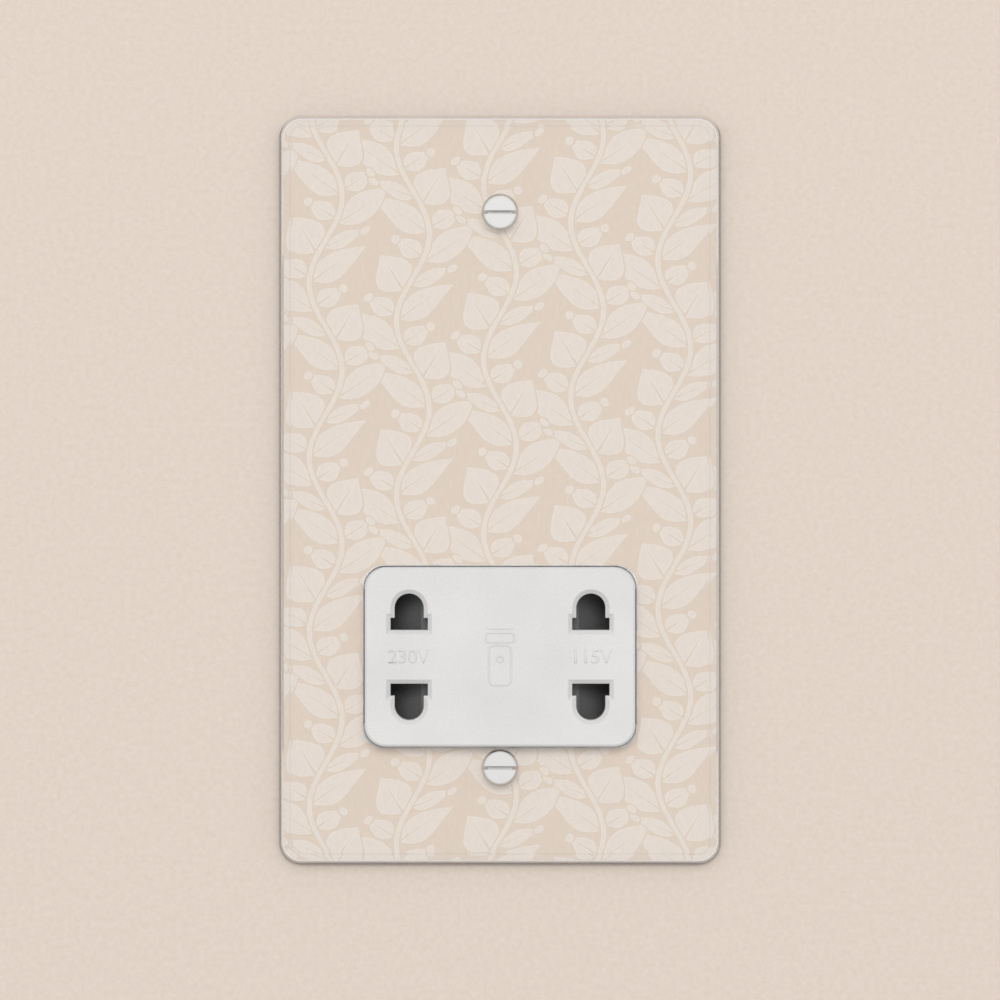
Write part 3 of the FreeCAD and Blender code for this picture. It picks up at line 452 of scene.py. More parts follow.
def make_clear_acrylic():
    """Polished clear sheet with a milled bevel and sawn edges.

    Its colour holds painted shade: faint contact shade on the foot where its rim bears on the wall, a dark
    line along the bevel's outer lip and another along its inner crease, and drilled walls darkened in part
    as shade in the gap round the module. Lamps shine through its faces, less through its outer edge and
    hardly at all into the edge's sealed foot. The seal and the painted dark lip above it end below the top
    edge. Light caught inside leaves the sheet after a few turns.
    """
    material, tree, shader = new_material("clear acrylic")
    place = node(tree, "ShaderNodeSeparateXYZ")
    link(tree, object_place(tree), place.inputs[0])
    surface = node(tree, "ShaderNodeNewGeometry")
    normal = node(tree, "ShaderNodeSeparateXYZ")
    link(tree, surface.outputs["Normal"], normal.inputs[0])
    facing = math_node(tree, "ABSOLUTE", normal.outputs["Y"])
    steep = remap(tree, facing, *STEEP_FACING, 1.0, 0.0)
    sloped = math_node(tree, "SUBTRACT", remap(tree, facing, *SLOPED_FACING, 1.0, 0.0), steep)
    depth = plate_depth(tree)
    sawn = math_node(tree, "MULTIPLY", steep, math_node(tree, "LESS_THAN", depth, EDGE_DEPTH))
    drilled = math_node(tree, "MULTIPLY", steep, math_node(tree, "GREATER_THAN", depth, RIM_DEPTH))
    flat = math_node(tree, "SUBTRACT", 1.0, math_node(tree, "ADD", steep, sloped))
    # Painted contact shade on the flat back of the rim
    foot = math_node(tree, "MULTIPLY", flat, math_node(tree, "LESS_THAN", depth, FOOT_DEPTH))
    seal_end, seal_gone = (plate_high.z - distance for distance in SEAL_TOP)
    below_top = remap(tree, place.outputs["Z"], seal_end, seal_gone, 1.0, 0.0)
    # Painted shade along the outer lip at the sides and bottom. It fades out below the top edge, where
    # light falls from above.
    lip = math_node(tree, "MULTIPLY", math_node(tree, "LESS_THAN", depth, LIP_DEPTH), below_top)
    lip = math_node(tree, "MULTIPLY", sloped, lip)
    # Painted shade, darkening the bevel towards its inner crease
    near_flat = remap(tree, depth, BEVEL_WIDTH - CREASE_WIDTH, BEVEL_WIDTH)
    crease = math_node(tree, "MULTIPLY", sloped, near_flat)
    swirl = noise(tree, object_place(tree), 220.0, 3.0)
    saw = noise(tree, stretched(tree, object_place(tree), (1.0, 0.15, 1.0)), 2500.0, 3.0)
    clear = mix_colour(tree, swirl, *CLEAR_TINTS)
    # Tints and painted shade laid over the clear colour: bevel tint, drilled walls' grey and shade, painted
    # foot, crease and lip shade, sawn grey
    for mask, tint in ((sloped, BEVEL_TINT), (drilled, HOLE_GREY_AND_SHADE), (foot, FOOT_PAINTED_SHADE),
                       (crease, CREASE_PAINTED_SHADE), (lip, LIP_PAINTED_SHADE), (sawn, SAWN_TINT)):
        clear = mix_colour(tree, mask, clear, tint)
    link(tree, clear, shader.inputs["Base Color"])
    polish = math_node(tree, "MULTIPLY_ADD", sloped, BEVEL_HAZE, remap(tree, swirl, 0.3, 0.7, *POLISH))
    frost = remap(tree, saw, 0.3, 0.7, *FROST)
    blend = node(tree, "ShaderNodeMix")
    link(tree, sawn, blend.inputs[0])
    link(tree, polish, blend.inputs[2])
    link(tree, frost, blend.inputs[3])
    link(tree, blend.outputs[0], shader.inputs["Roughness"])
    shader.inputs["IOR"].default_value = ACRYLIC_IOR
    shader.inputs["Transmission Weight"].default_value = 1.0
    through = node(tree, "ShaderNodeBsdfTransparent")
    sealed = remap(tree, place.outputs["Y"], SEAL_LEVEL - SEAL_BLUR, SEAL_LEVEL + SEAL_BLUR)
    entering = math_node(tree, "SUBTRACT", 1.0, surface.outputs["Backfacing"])
    sealed = math_node(tree, "MULTIPLY", sealed, math_node(tree, "MULTIPLY", entering, below_top))
    edge_tint = mix_colour(tree, sealed, EDGE_LIGHT, SEAL_LIGHT)
    link(tree, mix_colour(tree, sawn, grey(1.0), edge_tint), through.inputs["Color"])
    path = node(tree, "ShaderNodeLightPath")
    lamp_or_bounce = math_node(tree, "MAXIMUM", path.outputs["Is Shadow Ray"],
                               path.outputs["Is Diffuse Ray"])
    let_out = math_node(tree, "GREATER_THAN", path.outputs["Ray Depth"], INNER_TURNS)
    both = node(tree, "ShaderNodeMixShader")
    link(tree, math_node(tree, "MAXIMUM", lamp_or_bounce, let_out), both.inputs["Fac"])
    link(tree, shader.outputs[0], both.inputs[1])
    link(tree, through.outputs[0], both.inputs[2])
    link(tree, both.outputs[0], tree.nodes["Material Output"].inputs["Surface"])
    return material


ZINC_TONES = ((0.42, 0.44, 0.46, 1.0), (0.68, 0.69, 0.70, 1.0))
COPPER_TONES = ((0.42, 0.13, 0.045, 1.0), (0.66, 0.27, 0.11, 1.0))


def make_zinc_sheet():
    """Galvanised sheet with crystal spangles."""
    material, tree, shader = new_material("zinc sheet")
    cells = node(tree, "ShaderNodeTexVoronoi", feature="F1")
    cells.inputs["Scale"].default_value = 320.0
    link(tree, object_place(tree), cells.inputs["Vector"])
    shade = node(tree, "ShaderNodeSeparateColor")
    link(tree, cells.outputs["Color"], shade.inputs[0])
    out = use_group(tree, DRAWN_STREAKS, Place=object_place(tree), Stretch=(1.0, 1.0, 0.06))
    streak = math_node(tree, "MULTIPLY", out["Streak"], 0.3)
    tone = math_node(tree, "MULTIPLY_ADD", shade.outputs[0], 0.7, streak)
    link(tree, mix_colour(tree, tone, *ZINC_TONES), shader.inputs["Base Color"])
    link(tree, remap(tree, shade.outputs[1], 0.0, 1.0, 0.32, 0.5), shader.inputs["Roughness"])
    add_bump(tree, shader, out["Streak"], mm(0.008))
    shader.inputs["Metallic"].default_value = 1.0
    return material


def make_enamelled_copper():
    """Copper wire under a coat of clear enamel."""
    material, tree, shader = new_material("enamelled copper")
    out = use_group(tree, DRAWN_STREAKS, Place=object_place(tree), Stretch=(0.2, 0.2, 1.0), Fineness=1600.0)
    link(tree, mix_colour(tree, out["Streak"], *COPPER_TONES), shader.inputs["Base Color"])
    link(tree, remap(tree, out["Cloud"], 0.3, 0.7, 0.22, 0.36), shader.inputs["Roughness"])
    shader.inputs["Metallic"].default_value = 0.9
    shader.inputs["Coat Weight"].default_value = 0.6
    shader.inputs["Coat Roughness"].default_value = 0.12
    return material


def make_white_paint():
    """Baked white paint of the screw heads, with a thin gloss coat."""
    material, tree, shader = new_material("white paint")
    out = use_group(tree, SPARK_GRAIN, Place=object_place(tree), Grain=2600.0, Drift=500.0)
    link(tree, mix_colour(tree, out["Tone"], grey(0.68), grey(0.80)), shader.inputs["Base Color"])
    link(tree, remap(tree, out["Height"], 0.3, 0.7, 0.28, 0.42), shader.inputs["Roughness"])
    add_bump(tree, shader, out["Height"], mm(0.004))
    shader.inputs["Coat Weight"].default_value = 0.25
    shader.inputs["Coat Roughness"].default_value = 0.15
    return material


FINISHES = {
    "clear_acrylic": make_clear_acrylic(),
    "white_screw": make_white_paint(),
    "wall_paper": make_printed_paper(),
    "frame_steel": make_zinc_sheet(),
    "white_moulding": moulding("white moulding", grey(0.69), grey(0.785), (0.42, 0.56)),
    "grey_moulding": moulding("grey moulding", grey(0.11), grey(0.15), (0.38, 0.5), depth=mm(0.006)),
    "spring_wire": drawn_metal("spring steel", (0.40, 0.41, 0.43, 1), (0.62, 0.63, 0.64, 1), (0.2, 0.32),
                               (1.0, 1.0, 0.05)),
    "black_moulding": moulding("black moulding", grey(0.016), grey(0.03), (0.4, 0.55)),
    "contact_brass": drawn_metal("rolled brass", (0.60, 0.40, 0.14, 1), (0.80, 0.58, 0.27, 1), (0.22, 0.38),
                                 (1.0, 0.08, 1.0)),
    "screw_steel": drawn_metal("zinc screw", (0.50, 0.49, 0.44, 1), (0.70, 0.69, 0.63, 1), (0.24, 0.4),
                               (1.0, 0.2, 1.0), fineness=1500.0),
    "core_steel": drawn_metal("varnished steel", (0.07, 0.07, 0.075, 1), (0.17, 0.165, 0.16, 1), (0.3, 0.5),
                              (0.1, 1.0, 1.0)),
    "bobbin_moulding": moulding("natural nylon", (0.62, 0.55, 0.40, 1), (0.74, 0.68, 0.54, 1), (0.35, 0.5)),
    "copper_winding": make_enamelled_copper(),
    "cutout_case": moulding("gloss case", grey(0.02), grey(0.035), (0.16, 0.26), depth=mm(0.003)),
    "housing_moulding": moulding("housing moulding", grey(0.56), grey(0.68), (0.45, 0.62), grain=2200.0,
                                 depth=mm(0.014)),
}

for part in frame["record"]["subparts"]:
    mesh = nodes[part["node"]].data
    mesh.materials.clear()
    mesh.materials.append(FINISHES[part["material_slot"]])


# Raised marks, with letters shaped in millimetres
OUTLET_X = mm(17.8)
MARK_HEIGHT = mm(2.65)
MARK_RAISE = mm(0.2)
MARK_STROKE = mm(0.46)
MARK_SLOPE = mm(0.14)
MARK_SINK = mm(0.2)
LETTER_SLOPE = 0.13
LETTER_THINNING = 0.7
CAP_SHARE = 0.69


# Pieces


def new_piece(name, mesh, slot, body="socket"):
    piece = bpy.data.objects.new(name, mesh)
    bpy.context.scene.collection.objects.link(piece)
    mesh.materials.clear()
    mesh.materials.append(FINISHES[slot])
    if body:
        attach(piece, body)
    return piece


def mesh_from(name, bm):
    bmesh.ops.recalc_face_normals(bm, faces=bm.faces)
    mesh = bpy.data.meshes.new(name)
    bm.to_mesh(mesh)
    bm.free()
    return mesh


def raised_text(name, text, middle, height, slot, facing, level, rise=MARK_RAISE):
    """Raised lettering on a face that looks along -Y (facing -1) or +Y (facing 1)."""
    curve = bpy.data.curves.new(name, "FONT")
    curve.body = text
    curve.align_x = "CENTER"
    curve.align_y = "CENTER"
    curve.size = height * MM_PER_METRE / CAP_SHARE
    curve.extrude = MARK_SINK * MM_PER_METRE
    curve.offset = -LETTER_SLOPE * LETTER_THINNING
    curve.bevel_depth = LETTER_SLOPE
    curve.bevel_resolution = 0
    curve.resolution_u = 5
    letters = bpy.data.objects.new(name + "_letters", curve)
    bpy.context.scene.collection.objects.link(letters)
    bpy.context.view_layer.update()
    graph = bpy.context.evaluated_depsgraph_get()
    mesh = bpy.data.meshes.new_from_object(letters.evaluated_get(graph))
    bpy.data.objects.remove(letters)
    stand = Matrix.Rotation(math.pi / 2, 4, "X") @ Matrix.Scale(1 / MM_PER_METRE, 4)
    turn = Matrix.Rotation(math.pi if facing > 0 else 0.0, 4, "Z")
    depth = level + facing * (rise - MARK_SINK - LETTER_SLOPE / MM_PER_METRE)
    mesh.transform(Matrix.Translation((middle[0], depth, middle[1])) @ turn @ stand)
    mesh.name = name
    return new_piece(name, mesh, slot)


def rounded_loop(middle, half_width, half_height, radius, steps=6):
    """Corner-rounded rectangle in X and Z."""
    points = []
    for number, (sx, sz) in enumerate(((1, 1), (-1, 1), (-1, -1), (1, -1))):
        for step in range(steps + 1):
            angle = math.pi / 2 * (number + step / steps)
            points.append((middle[0] + sx * (half_width - radius) + radius * math.cos(angle),
                           middle[1] + sz * (half_height - radius) + radius * math.sin(angle)))
    return points


def add_ring(bm, middle, half_width, half_height, radius, stroke, front, back):
    """Raised outline of a rounded rectangle with sloped flanks, from a back level to a front level."""
    def loop(inset):
        return rounded_loop(middle, half_width - inset, half_height - inset, max(radius - inset, mm(0.05)))
    level = front + MARK_RAISE
    profile = ((0.0, back), (0.0, level), (MARK_SLOPE, front),
               (stroke - MARK_SLOPE, front), (stroke, level), (stroke, back))
    rows = [[bm.verts.new((x, y, z)) for x, z in loop(inset)] for inset, y in profile]
    for row, after in zip(rows, rows[1:]):
        for number in range(len(row)):
            following = (number + 1) % len(row)
            bm.faces.new((row[number], row[following], after[following], after[number]))


def add_bar(bm, low, high, front, back):
    made = bmesh.ops.create_cube(bm, size=1.0)["verts"]
    size = Vector((high[0] - low[0], abs(front - back), high[1] - low[1]))
    middle = Vector(((high[0] + low[0]) / 2, (front + back) / 2, (high[1] + low[1]) / 2))
    bmesh.ops.scale(bm, vec=size, verts=made)
    bmesh.ops.translate(bm, vec=middle, verts=made)


# Raised sign of a plain hand shaver in the middle of the face, with half sizes of its body and head
SIGN_BODY = (mm(2.4), mm(4.1))
SIGN_BODY_CORNER = mm(1.3)
SIGN_BODY_DROP = mm(1.6)
SIGN_HEAD = (mm(3.0), mm(1.15))
SIGN_HEAD_CORNER = mm(0.8)
SIGN_BUTTON = mm(0.8)
SIGN_BUTTON_LIFT = mm(1.2)
SIGN_FOIL_GAP = mm(0.5)
SIGN_FOIL_INSET = mm(0.5)
SIGN_JOINT = mm(0.15)


def make_shaver_sign():
    bm = bmesh.new()
    front = FACE_LEVEL - MARK_RAISE
    back = FACE_LEVEL + MARK_SINK
    body_z = FACE_MIDDLE - SIGN_BODY_DROP
    head_z = body_z + SIGN_BODY[1] + SIGN_HEAD[1] + SIGN_JOINT
    button_z = body_z + SIGN_BUTTON_LIFT
    add_ring(bm, (0.0, body_z), *SIGN_BODY, SIGN_BODY_CORNER, MARK_STROKE, front, back)
    add_ring(bm, (0.0, head_z), *SIGN_HEAD, SIGN_HEAD_CORNER, MARK_STROKE, front, back)
    add_ring(bm, (0.0, button_z), SIGN_BUTTON, SIGN_BUTTON, SIGN_BUTTON * 0.98, MARK_STROKE, front, back)
    foil_z = head_z + SIGN_HEAD[1] + SIGN_FOIL_GAP
    foil_half = SIGN_HEAD[0] - SIGN_FOIL_INSET
    add_bar(bm, (-foil_half, foil_z), (foil_half, foil_z + MARK_STROKE), front, back)
    return new_piece("shaver_sign", mesh_from("shaver_sign", bm), "white_moulding")


raised_text("mark_230", "230V", (-OUTLET_X, FACE_MIDDLE), MARK_HEIGHT, "white_moulding", -1, FACE_LEVEL)
raised_text("mark_115", "115V", (OUTLET_X, FACE_MIDDLE), MARK_HEIGHT, "white_moulding", -1, FACE_LEVEL)
make_shaver_sign()


# Marks above the terminals, on the back of the housing
TERMINAL_MARK_Z = mm(-31.0)
TERMINAL_MARK_HEIGHT = mm(3.2)
TERMINAL_MARK_RISE = mm(0.28)
TERMINAL_PITCH = mm(13.0)
EARTH_BARS = (mm(1.7), mm(1.1), mm(0.5))
EARTH_BAR_GAP = mm(0.85)
EARTH_STROKE = mm(0.4)


def make_earth_mark():
    """Three shrinking bars below a stem."""
    bm = bmesh.new()
    front = BACK_LEVEL - MARK_SINK
    back = BACK_LEVEL + TERMINAL_MARK_RISE
    for number, half in enumerate(EARTH_BARS):
        low = TERMINAL_MARK_Z - EARTH_BAR_GAP * number
        add_bar(bm, (TERMINAL_PITCH - half, low), (TERMINAL_PITCH + half, low + EARTH_STROKE), front, back)
    stem_half = EARTH_STROKE / 2
    add_bar(bm, (TERMINAL_PITCH - stem_half, TERMINAL_MARK_Z + EARTH_STROKE),
            (TERMINAL_PITCH + stem_half, TERMINAL_MARK_Z + TERMINAL_MARK_HEIGHT / 2), front, back)
    return new_piece("mark_earth", mesh_from("mark_earth", bm), "housing_moulding")


raised_text("mark_live", "L", (-TERMINAL_PITCH, TERMINAL_MARK_Z), TERMINAL_MARK_HEIGHT, "housing_moulding",
            1, BACK_LEVEL, TERMINAL_MARK_RISE)
raised_text("mark_neutral", "N", (0.0, TERMINAL_MARK_Z), TERMINAL_MARK_HEIGHT, "housing_moulding",
            1, BACK_LEVEL, TERMINAL_MARK_RISE)
make_earth_mark()


# Leaf spring, a straight strip in steps along its length, in place of the solid spring
SPRING_STEPS = 24


def make_leaf_spring():
    bm = bmesh.new()
    rows = []
    for step in range(SPRING_STEPS + 1):
        z = spring_low.z + (spring_high.z - spring_low.z) * step / SPRING_STEPS
        corners = ((spring_low.x, spring_low.y), (spring_high.x, spring_low.y),
                   (spring_high.x, spring_high.y), (spring_low.x, spring_high.y))
        rows.append([bm.verts.new((x, y, z)) for x, y in corners])
    for row, after in zip(rows, rows[1:]):
        for number in range(4):
            following = (number + 1) % 4
            bm.faces.new((row[number], row[following], after[following], after[number]))
    bm.faces.new(rows[0])
    bm.faces.new(rows[-1])
    piece = new_piece("leaf_spring", mesh_from("leaf_spring", bm), "spring_wire", body=None)
    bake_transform(piece)
    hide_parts("centring_spring")
    return piece


make_leaf_spring()


# Geometry node building


def new_tree(name, inputs):
    """A geometry tree with named size inputs, and the sockets that they give."""
    tree = bpy.data.node_groups.new(name, "GeometryNodeTree")
    identifiers = {}
    for label, kind in inputs:
        socket = tree.interface.new_socket(label, in_out="INPUT", socket_type=kind)
        identifiers[label] = socket.identifier
    tree.interface.new_socket("Geometry", in_out="OUTPUT", socket_type=SHAPE)
    return tree, node(tree, "NodeGroupInput").outputs, node(tree, "NodeGroupOutput").inputs, identifiers


def finish_tree(tree, geometry, given, out):
    real = node(tree, "GeometryNodeRealizeInstances")
    link(tree, geometry, real.inputs[0])
    painted = node(tree, "GeometryNodeSetMaterial")
    link(tree, real.outputs[0], painted.inputs["Geometry"])
    link(tree, given["Finish"], painted.inputs["Material"])
    link(tree, painted.outputs[0], out[0])


def grow(name, tree, identifiers, values, points=()):
    """Runs a geometry tree on loose points, if any, and gives the result as a plain mesh."""
    start = bpy.data.meshes.new(name + "_holder")
    start.from_pydata(points, [], [])
    holder = bpy.data.objects.new(name + "_holder", start)
    bpy.context.scene.collection.objects.link(holder)
    modifier = holder.modifiers.new("grow", "NODES")
    modifier.node_group = tree
    for label, value in values.items():
        modifier[identifiers[label]] = value
    bpy.context.view_layer.update()
    graph = bpy.context.evaluated_depsgraph_get()
    mesh = bpy.data.meshes.new_from_object(holder.evaluated_get(graph))
    mesh.name = name
    holder.modifiers.remove(modifier)
    bpy.data.objects.remove(holder)
    return mesh


def wire_turns_tree():
    """Loops of round wire with rounded corners, stacked in turns, one layer for each run."""
    tree, given, out, identifiers = new_tree("wire turns", [
        ("Width", FLOAT), ("Depth", FLOAT), ("Corner", FLOAT), ("Wire Radius", FLOAT),
        ("Turns", WHOLE), ("Pitch", FLOAT), ("First Turn", VECTOR), ("Finish", FINISH)])
    loop = node(tree, "GeometryNodeCurvePrimitiveQuadrilateral")
    link(tree, given["Width"], loop.inputs["Width"])
    link(tree, given["Depth"], loop.inputs["Height"])
    corners = node(tree, "GeometryNodeFilletCurve", mode="POLY")
    link(tree, loop.outputs[0], corners.inputs["Curve"])
    link(tree, given["Corner"], corners.inputs["Radius"])
    corners.inputs["Count"].default_value = 5
    section = node(tree, "GeometryNodeCurvePrimitiveCircle")
    section.inputs["Resolution"].default_value = 7
    link(tree, given["Wire Radius"], section.inputs["Radius"])
    wire = node(tree, "GeometryNodeCurveToMesh")
    link(tree, corners.outputs[0], wire.inputs["Curve"])
    link(tree, section.outputs[0], wire.inputs["Profile Curve"])
    up = node(tree, "ShaderNodeCombineXYZ")
    link(tree, given["Pitch"], up.inputs["Z"])
    stack = node(tree, "GeometryNodeMeshLine", mode="OFFSET")
    link(tree, given["Turns"], stack.inputs["Count"])
    link(tree, given["First Turn"], stack.inputs["Start Location"])
    link(tree, up.outputs[0], stack.inputs["Offset"])
    turns = node(tree, "GeometryNodeInstanceOnPoints")
    link(tree, stack.outputs[0], turns.inputs["Points"])
    link(tree, wire.outputs[0], turns.inputs["Instance"])
    finish_tree(tree, turns.outputs[0], given, out)
    return tree, identifiers


WIRE_TURNS, WIRE_INPUTS = wire_turns_tree()
WIRE_CORNER = mm(2.2)


def make_winding(piece_name, node_name, wire_radius, layers=2):
    """Outer layers of a winding, wound in the chamber that its solid fills."""
    low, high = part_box(node_name)
    turns = int((high.z - low.z) / (2 * wire_radius))
    pitch = (high.z - low.z - 2 * wire_radius) / (turns - 1)
    bm = bmesh.new()
    for layer in range(layers):
        inset = wire_radius * (1 + 2 * layer)
        first = ((low.x + high.x) / 2, (low.y + high.y) / 2, low.z + wire_radius)
        mesh = grow(piece_name, WIRE_TURNS, WIRE_INPUTS, {
            "Width": high.x - low.x - 2 * inset, "Depth": high.y - low.y - 2 * inset,
            "Corner": WIRE_CORNER - inset, "Wire Radius": wire_radius, "Turns": turns, "Pitch": pitch,
            "First Turn": first, "Finish": FINISHES["copper_winding"]})
        bm.from_mesh(mesh)
        bpy.data.meshes.remove(mesh)
    for face in bm.faces:
        face.smooth = True
    piece = new_piece(piece_name, mesh_from(piece_name, bm), "copper_winding")
    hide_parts(node_name)
    return piece


make_winding("primary_wire", "primary_winding", mm(0.26))
make_winding("secondary_wire", "secondary_winding", mm(0.42))


def lamination_tree():
    """Stack of thin core sheets, each with two windows for the coil."""
    tree, given, out, identifiers = new_tree("lamination stack", [
        ("Width", FLOAT), ("Height", FLOAT), ("Window Width", FLOAT), ("Window Height", FLOAT),
        ("Window Place", FLOAT), ("Sheet", FLOAT), ("Pitch", FLOAT), ("Sheets", WHOLE),
        ("First Sheet", VECTOR), ("Finish", FINISH)])
    outline = node(tree, "GeometryNodeCurvePrimitiveQuadrilateral")
    link(tree, given["Width"], outline.inputs["Width"])
    link(tree, given["Height"], outline.inputs["Height"])
    window = node(tree, "GeometryNodeCurvePrimitiveQuadrilateral")
    link(tree, given["Window Width"], window.inputs["Width"])
    link(tree, given["Window Height"], window.inputs["Height"])
    flat = node(tree, "GeometryNodeJoinGeometry")
    link(tree, outline.outputs[0], flat.inputs[0])
    for side in (-1.0, 1.0):
        place = node(tree, "ShaderNodeCombineXYZ")
        link(tree, math_node(tree, "MULTIPLY", given["Window Place"], side), place.inputs["X"])
        moved = node(tree, "GeometryNodeTransform")
        link(tree, window.outputs[0], moved.inputs["Geometry"])
        link(tree, place.outputs[0], moved.inputs["Translation"])
        link(tree, moved.outputs[0], flat.inputs[0])
    filled = node(tree, "GeometryNodeFillCurve")
    link(tree, flat.outputs[0], filled.inputs[0])
    thick = node(tree, "GeometryNodeExtrudeMesh", mode="FACES")
    link(tree, filled.outputs[0], thick.inputs["Mesh"])
    link(tree, given["Sheet"], thick.inputs["Offset Scale"])
    thick.inputs["Individual"].default_value = False
    under = node(tree, "GeometryNodeFlipFaces")
    link(tree, filled.outputs[0], under.inputs["Mesh"])
    sheet = node(tree, "GeometryNodeJoinGeometry")
    link(tree, thick.outputs[0], sheet.inputs[0])
    link(tree, under.outputs[0], sheet.inputs[0])
    closed = node(tree, "GeometryNodeMergeByDistance")
    closed.inputs["Distance"].default_value = 1e-6
    link(tree, sheet.outputs[0], closed.inputs["Geometry"])
    upright = node(tree, "GeometryNodeTransform")
    upright.inputs["Rotation"].default_value = (math.pi / 2, 0.0, 0.0)
    link(tree, closed.outputs[0], upright.inputs["Geometry"])
    back = node(tree, "ShaderNodeCombineXYZ")
    link(tree, given["Pitch"], back.inputs["Y"])
    stack = node(tree, "GeometryNodeMeshLine", mode="OFFSET")
    link(tree, given["Sheets"], stack.inputs["Count"])
    link(tree, given["First Sheet"], stack.inputs["Start Location"])
    link(tree, back.outputs[0], stack.inputs["Offset"])
    sheets = node(tree, "GeometryNodeInstanceOnPoints")
    link(tree, stack.outputs[0], sheets.inputs["Points"])
    link(tree, upright.outputs[0], sheets.inputs["Instance"])
    finish_tree(tree, sheets.outputs[0], given, out)
    return tree, identifiers


LAMINATION_PITCH = mm(0.5)
LAMINATION_SHEET = mm(0.44)
WINDOW_WIDTH = mm(8.0)
CORE_SIDE = mm(8.0)


def make_laminations():
    tree, identifiers = lamination_tree()
    sheets = round((core_high.y - core_low.y) / LAMINATION_PITCH)
    width = core_high.x - core_low.x
    height = core_high.z - core_low.z
    first = (0.0, core_low.y + LAMINATION_SHEET, (core_low.z + core_high.z) / 2)
    mesh = grow("core_laminations", tree, identifiers, {
        "Width": width, "Height": height, "Window Width": WINDOW_WIDTH,
        "Window Height": height - 2 * CORE_SIDE, "Window Place": width / 2 - CORE_SIDE - WINDOW_WIDTH / 2,
        "Sheet": LAMINATION_SHEET, "Pitch": LAMINATION_PITCH, "Sheets": sheets, "First Sheet": first,
        "Finish": FINISHES["core_steel"]})
    piece = new_piece("core_laminations", mesh, "core_steel")
    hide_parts("transformer_core")
    return piece


make_laminations()


def screw_heads_tree():
    """Tapered pan heads with a crossed recess, one on each seat."""
    tree, given, out, identifiers = new_tree("pan head screws", [
        ("Seats", SHAPE), ("Head Radius", FLOAT), ("Top Radius", FLOAT), ("Head Height", FLOAT),
        ("Slot Reach", FLOAT), ("Slot Width", FLOAT), ("Slot Depth", FLOAT), ("Turn", VECTOR),
        ("Finish", FINISH)])
    head = node(tree, "GeometryNodeMeshCone")
    head.inputs["Vertices"].default_value = 28
    link(tree, given["Top Radius"], head.inputs["Radius Top"])
    link(tree, given["Head Radius"], head.inputs["Radius Bottom"])
    link(tree, given["Head Height"], head.inputs["Depth"])
    recess = node(tree, "GeometryNodeMeshBoolean", operation="DIFFERENCE")
    link(tree, head.outputs["Mesh"], recess.inputs["Mesh 1"])
    top = node(tree, "ShaderNodeCombineXYZ")
    link(tree, given["Head Height"], top.inputs["Z"])
    for long, short in (("X", "Y"), ("Y", "X")):
        size = node(tree, "ShaderNodeCombineXYZ")
        link(tree, math_node(tree, "MULTIPLY", given["Slot Reach"], 2.0), size.inputs[long])
        link(tree, given["Slot Width"], size.inputs[short])
        link(tree, math_node(tree, "MULTIPLY", given["Slot Depth"], 2.0), size.inputs["Z"])
        blade = node(tree, "GeometryNodeMeshCube")
        link(tree, size.outputs[0], blade.inputs["Size"])
        placed = node(tree, "GeometryNodeTransform")
        link(tree, blade.outputs["Mesh"], placed.inputs["Geometry"])
        link(tree, top.outputs[0], placed.inputs["Translation"])
        link(tree, placed.outputs[0], recess.inputs["Mesh 2"])
    turned = node(tree, "GeometryNodeTransform")
    link(tree, recess.outputs["Mesh"], turned.inputs["Geometry"])
    link(tree, given["Turn"], turned.inputs["Rotation"])
    heads = node(tree, "GeometryNodeInstanceOnPoints")
    link(tree, given["Seats"], heads.inputs["Points"])
    link(tree, turned.outputs[0], heads.inputs["Instance"])
    finish_tree(tree, heads.outputs[0], given, out)
    return tree, identifiers


SCREW_HEADS, SCREW_INPUTS = screw_heads_tree()
SCREW_HEAD_RADIUS = mm(1.9)
SCREW_HEAD_HEIGHT = mm(1.3)
SCREW_SLOT_WIDTH = mm(0.6)
SCREW_SLOT_DEPTH = mm(0.7)
EAR_OFFSET = mm(15.73)
EAR_BACK = mm(8.9)
CLAMP_SCREW_X = mm(27.2)


def make_screws(piece_name, seats, facing):
    """Small screws whose heads sit on the seats and face back (1) or front (-1)."""
    mesh = grow(piece_name, SCREW_HEADS, SCREW_INPUTS, {
        "Head Radius": SCREW_HEAD_RADIUS, "Top Radius": SCREW_HEAD_RADIUS * 0.82,
        "Head Height": SCREW_HEAD_HEIGHT, "Slot Reach": SCREW_HEAD_RADIUS * 0.55,
        "Slot Width": SCREW_SLOT_WIDTH, "Slot Depth": SCREW_SLOT_DEPTH,
        "Turn": (-facing * math.pi / 2, 0.0, 0.0), "Finish": FINISHES["screw_steel"]}, seats)
    return new_piece(piece_name, mesh, "screw_steel")


ear_seats = [(0.0, EAR_BACK, FACE_MIDDLE + side * EAR_OFFSET) for side in (1, -1)]
make_screws("carrier_screws", ear_seats, 1)
clamp_seats = []
for clamp in ("core_clamp_upper", "core_clamp_lower"):
    clamp_low, clamp_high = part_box(clamp)
    for side in (-1, 1):
        clamp_seats.append((side * CLAMP_SCREW_X, clamp_low.y, (clamp_low.z + clamp_high.z) / 2))
make_screws("clamp_screws", clamp_seats, -1)


# Stage: a plain papered wall with a box opening behind the plate, open to sight from behind
WALL_HALF = 1.5
WALL_LEVEL = mm(0.05)
OPENING_INSET = mm(1.4)
WALL_COLOURS = ((0.735, 0.635, 0.555, 1.0), (0.795, 0.695, 0.615, 1.0))


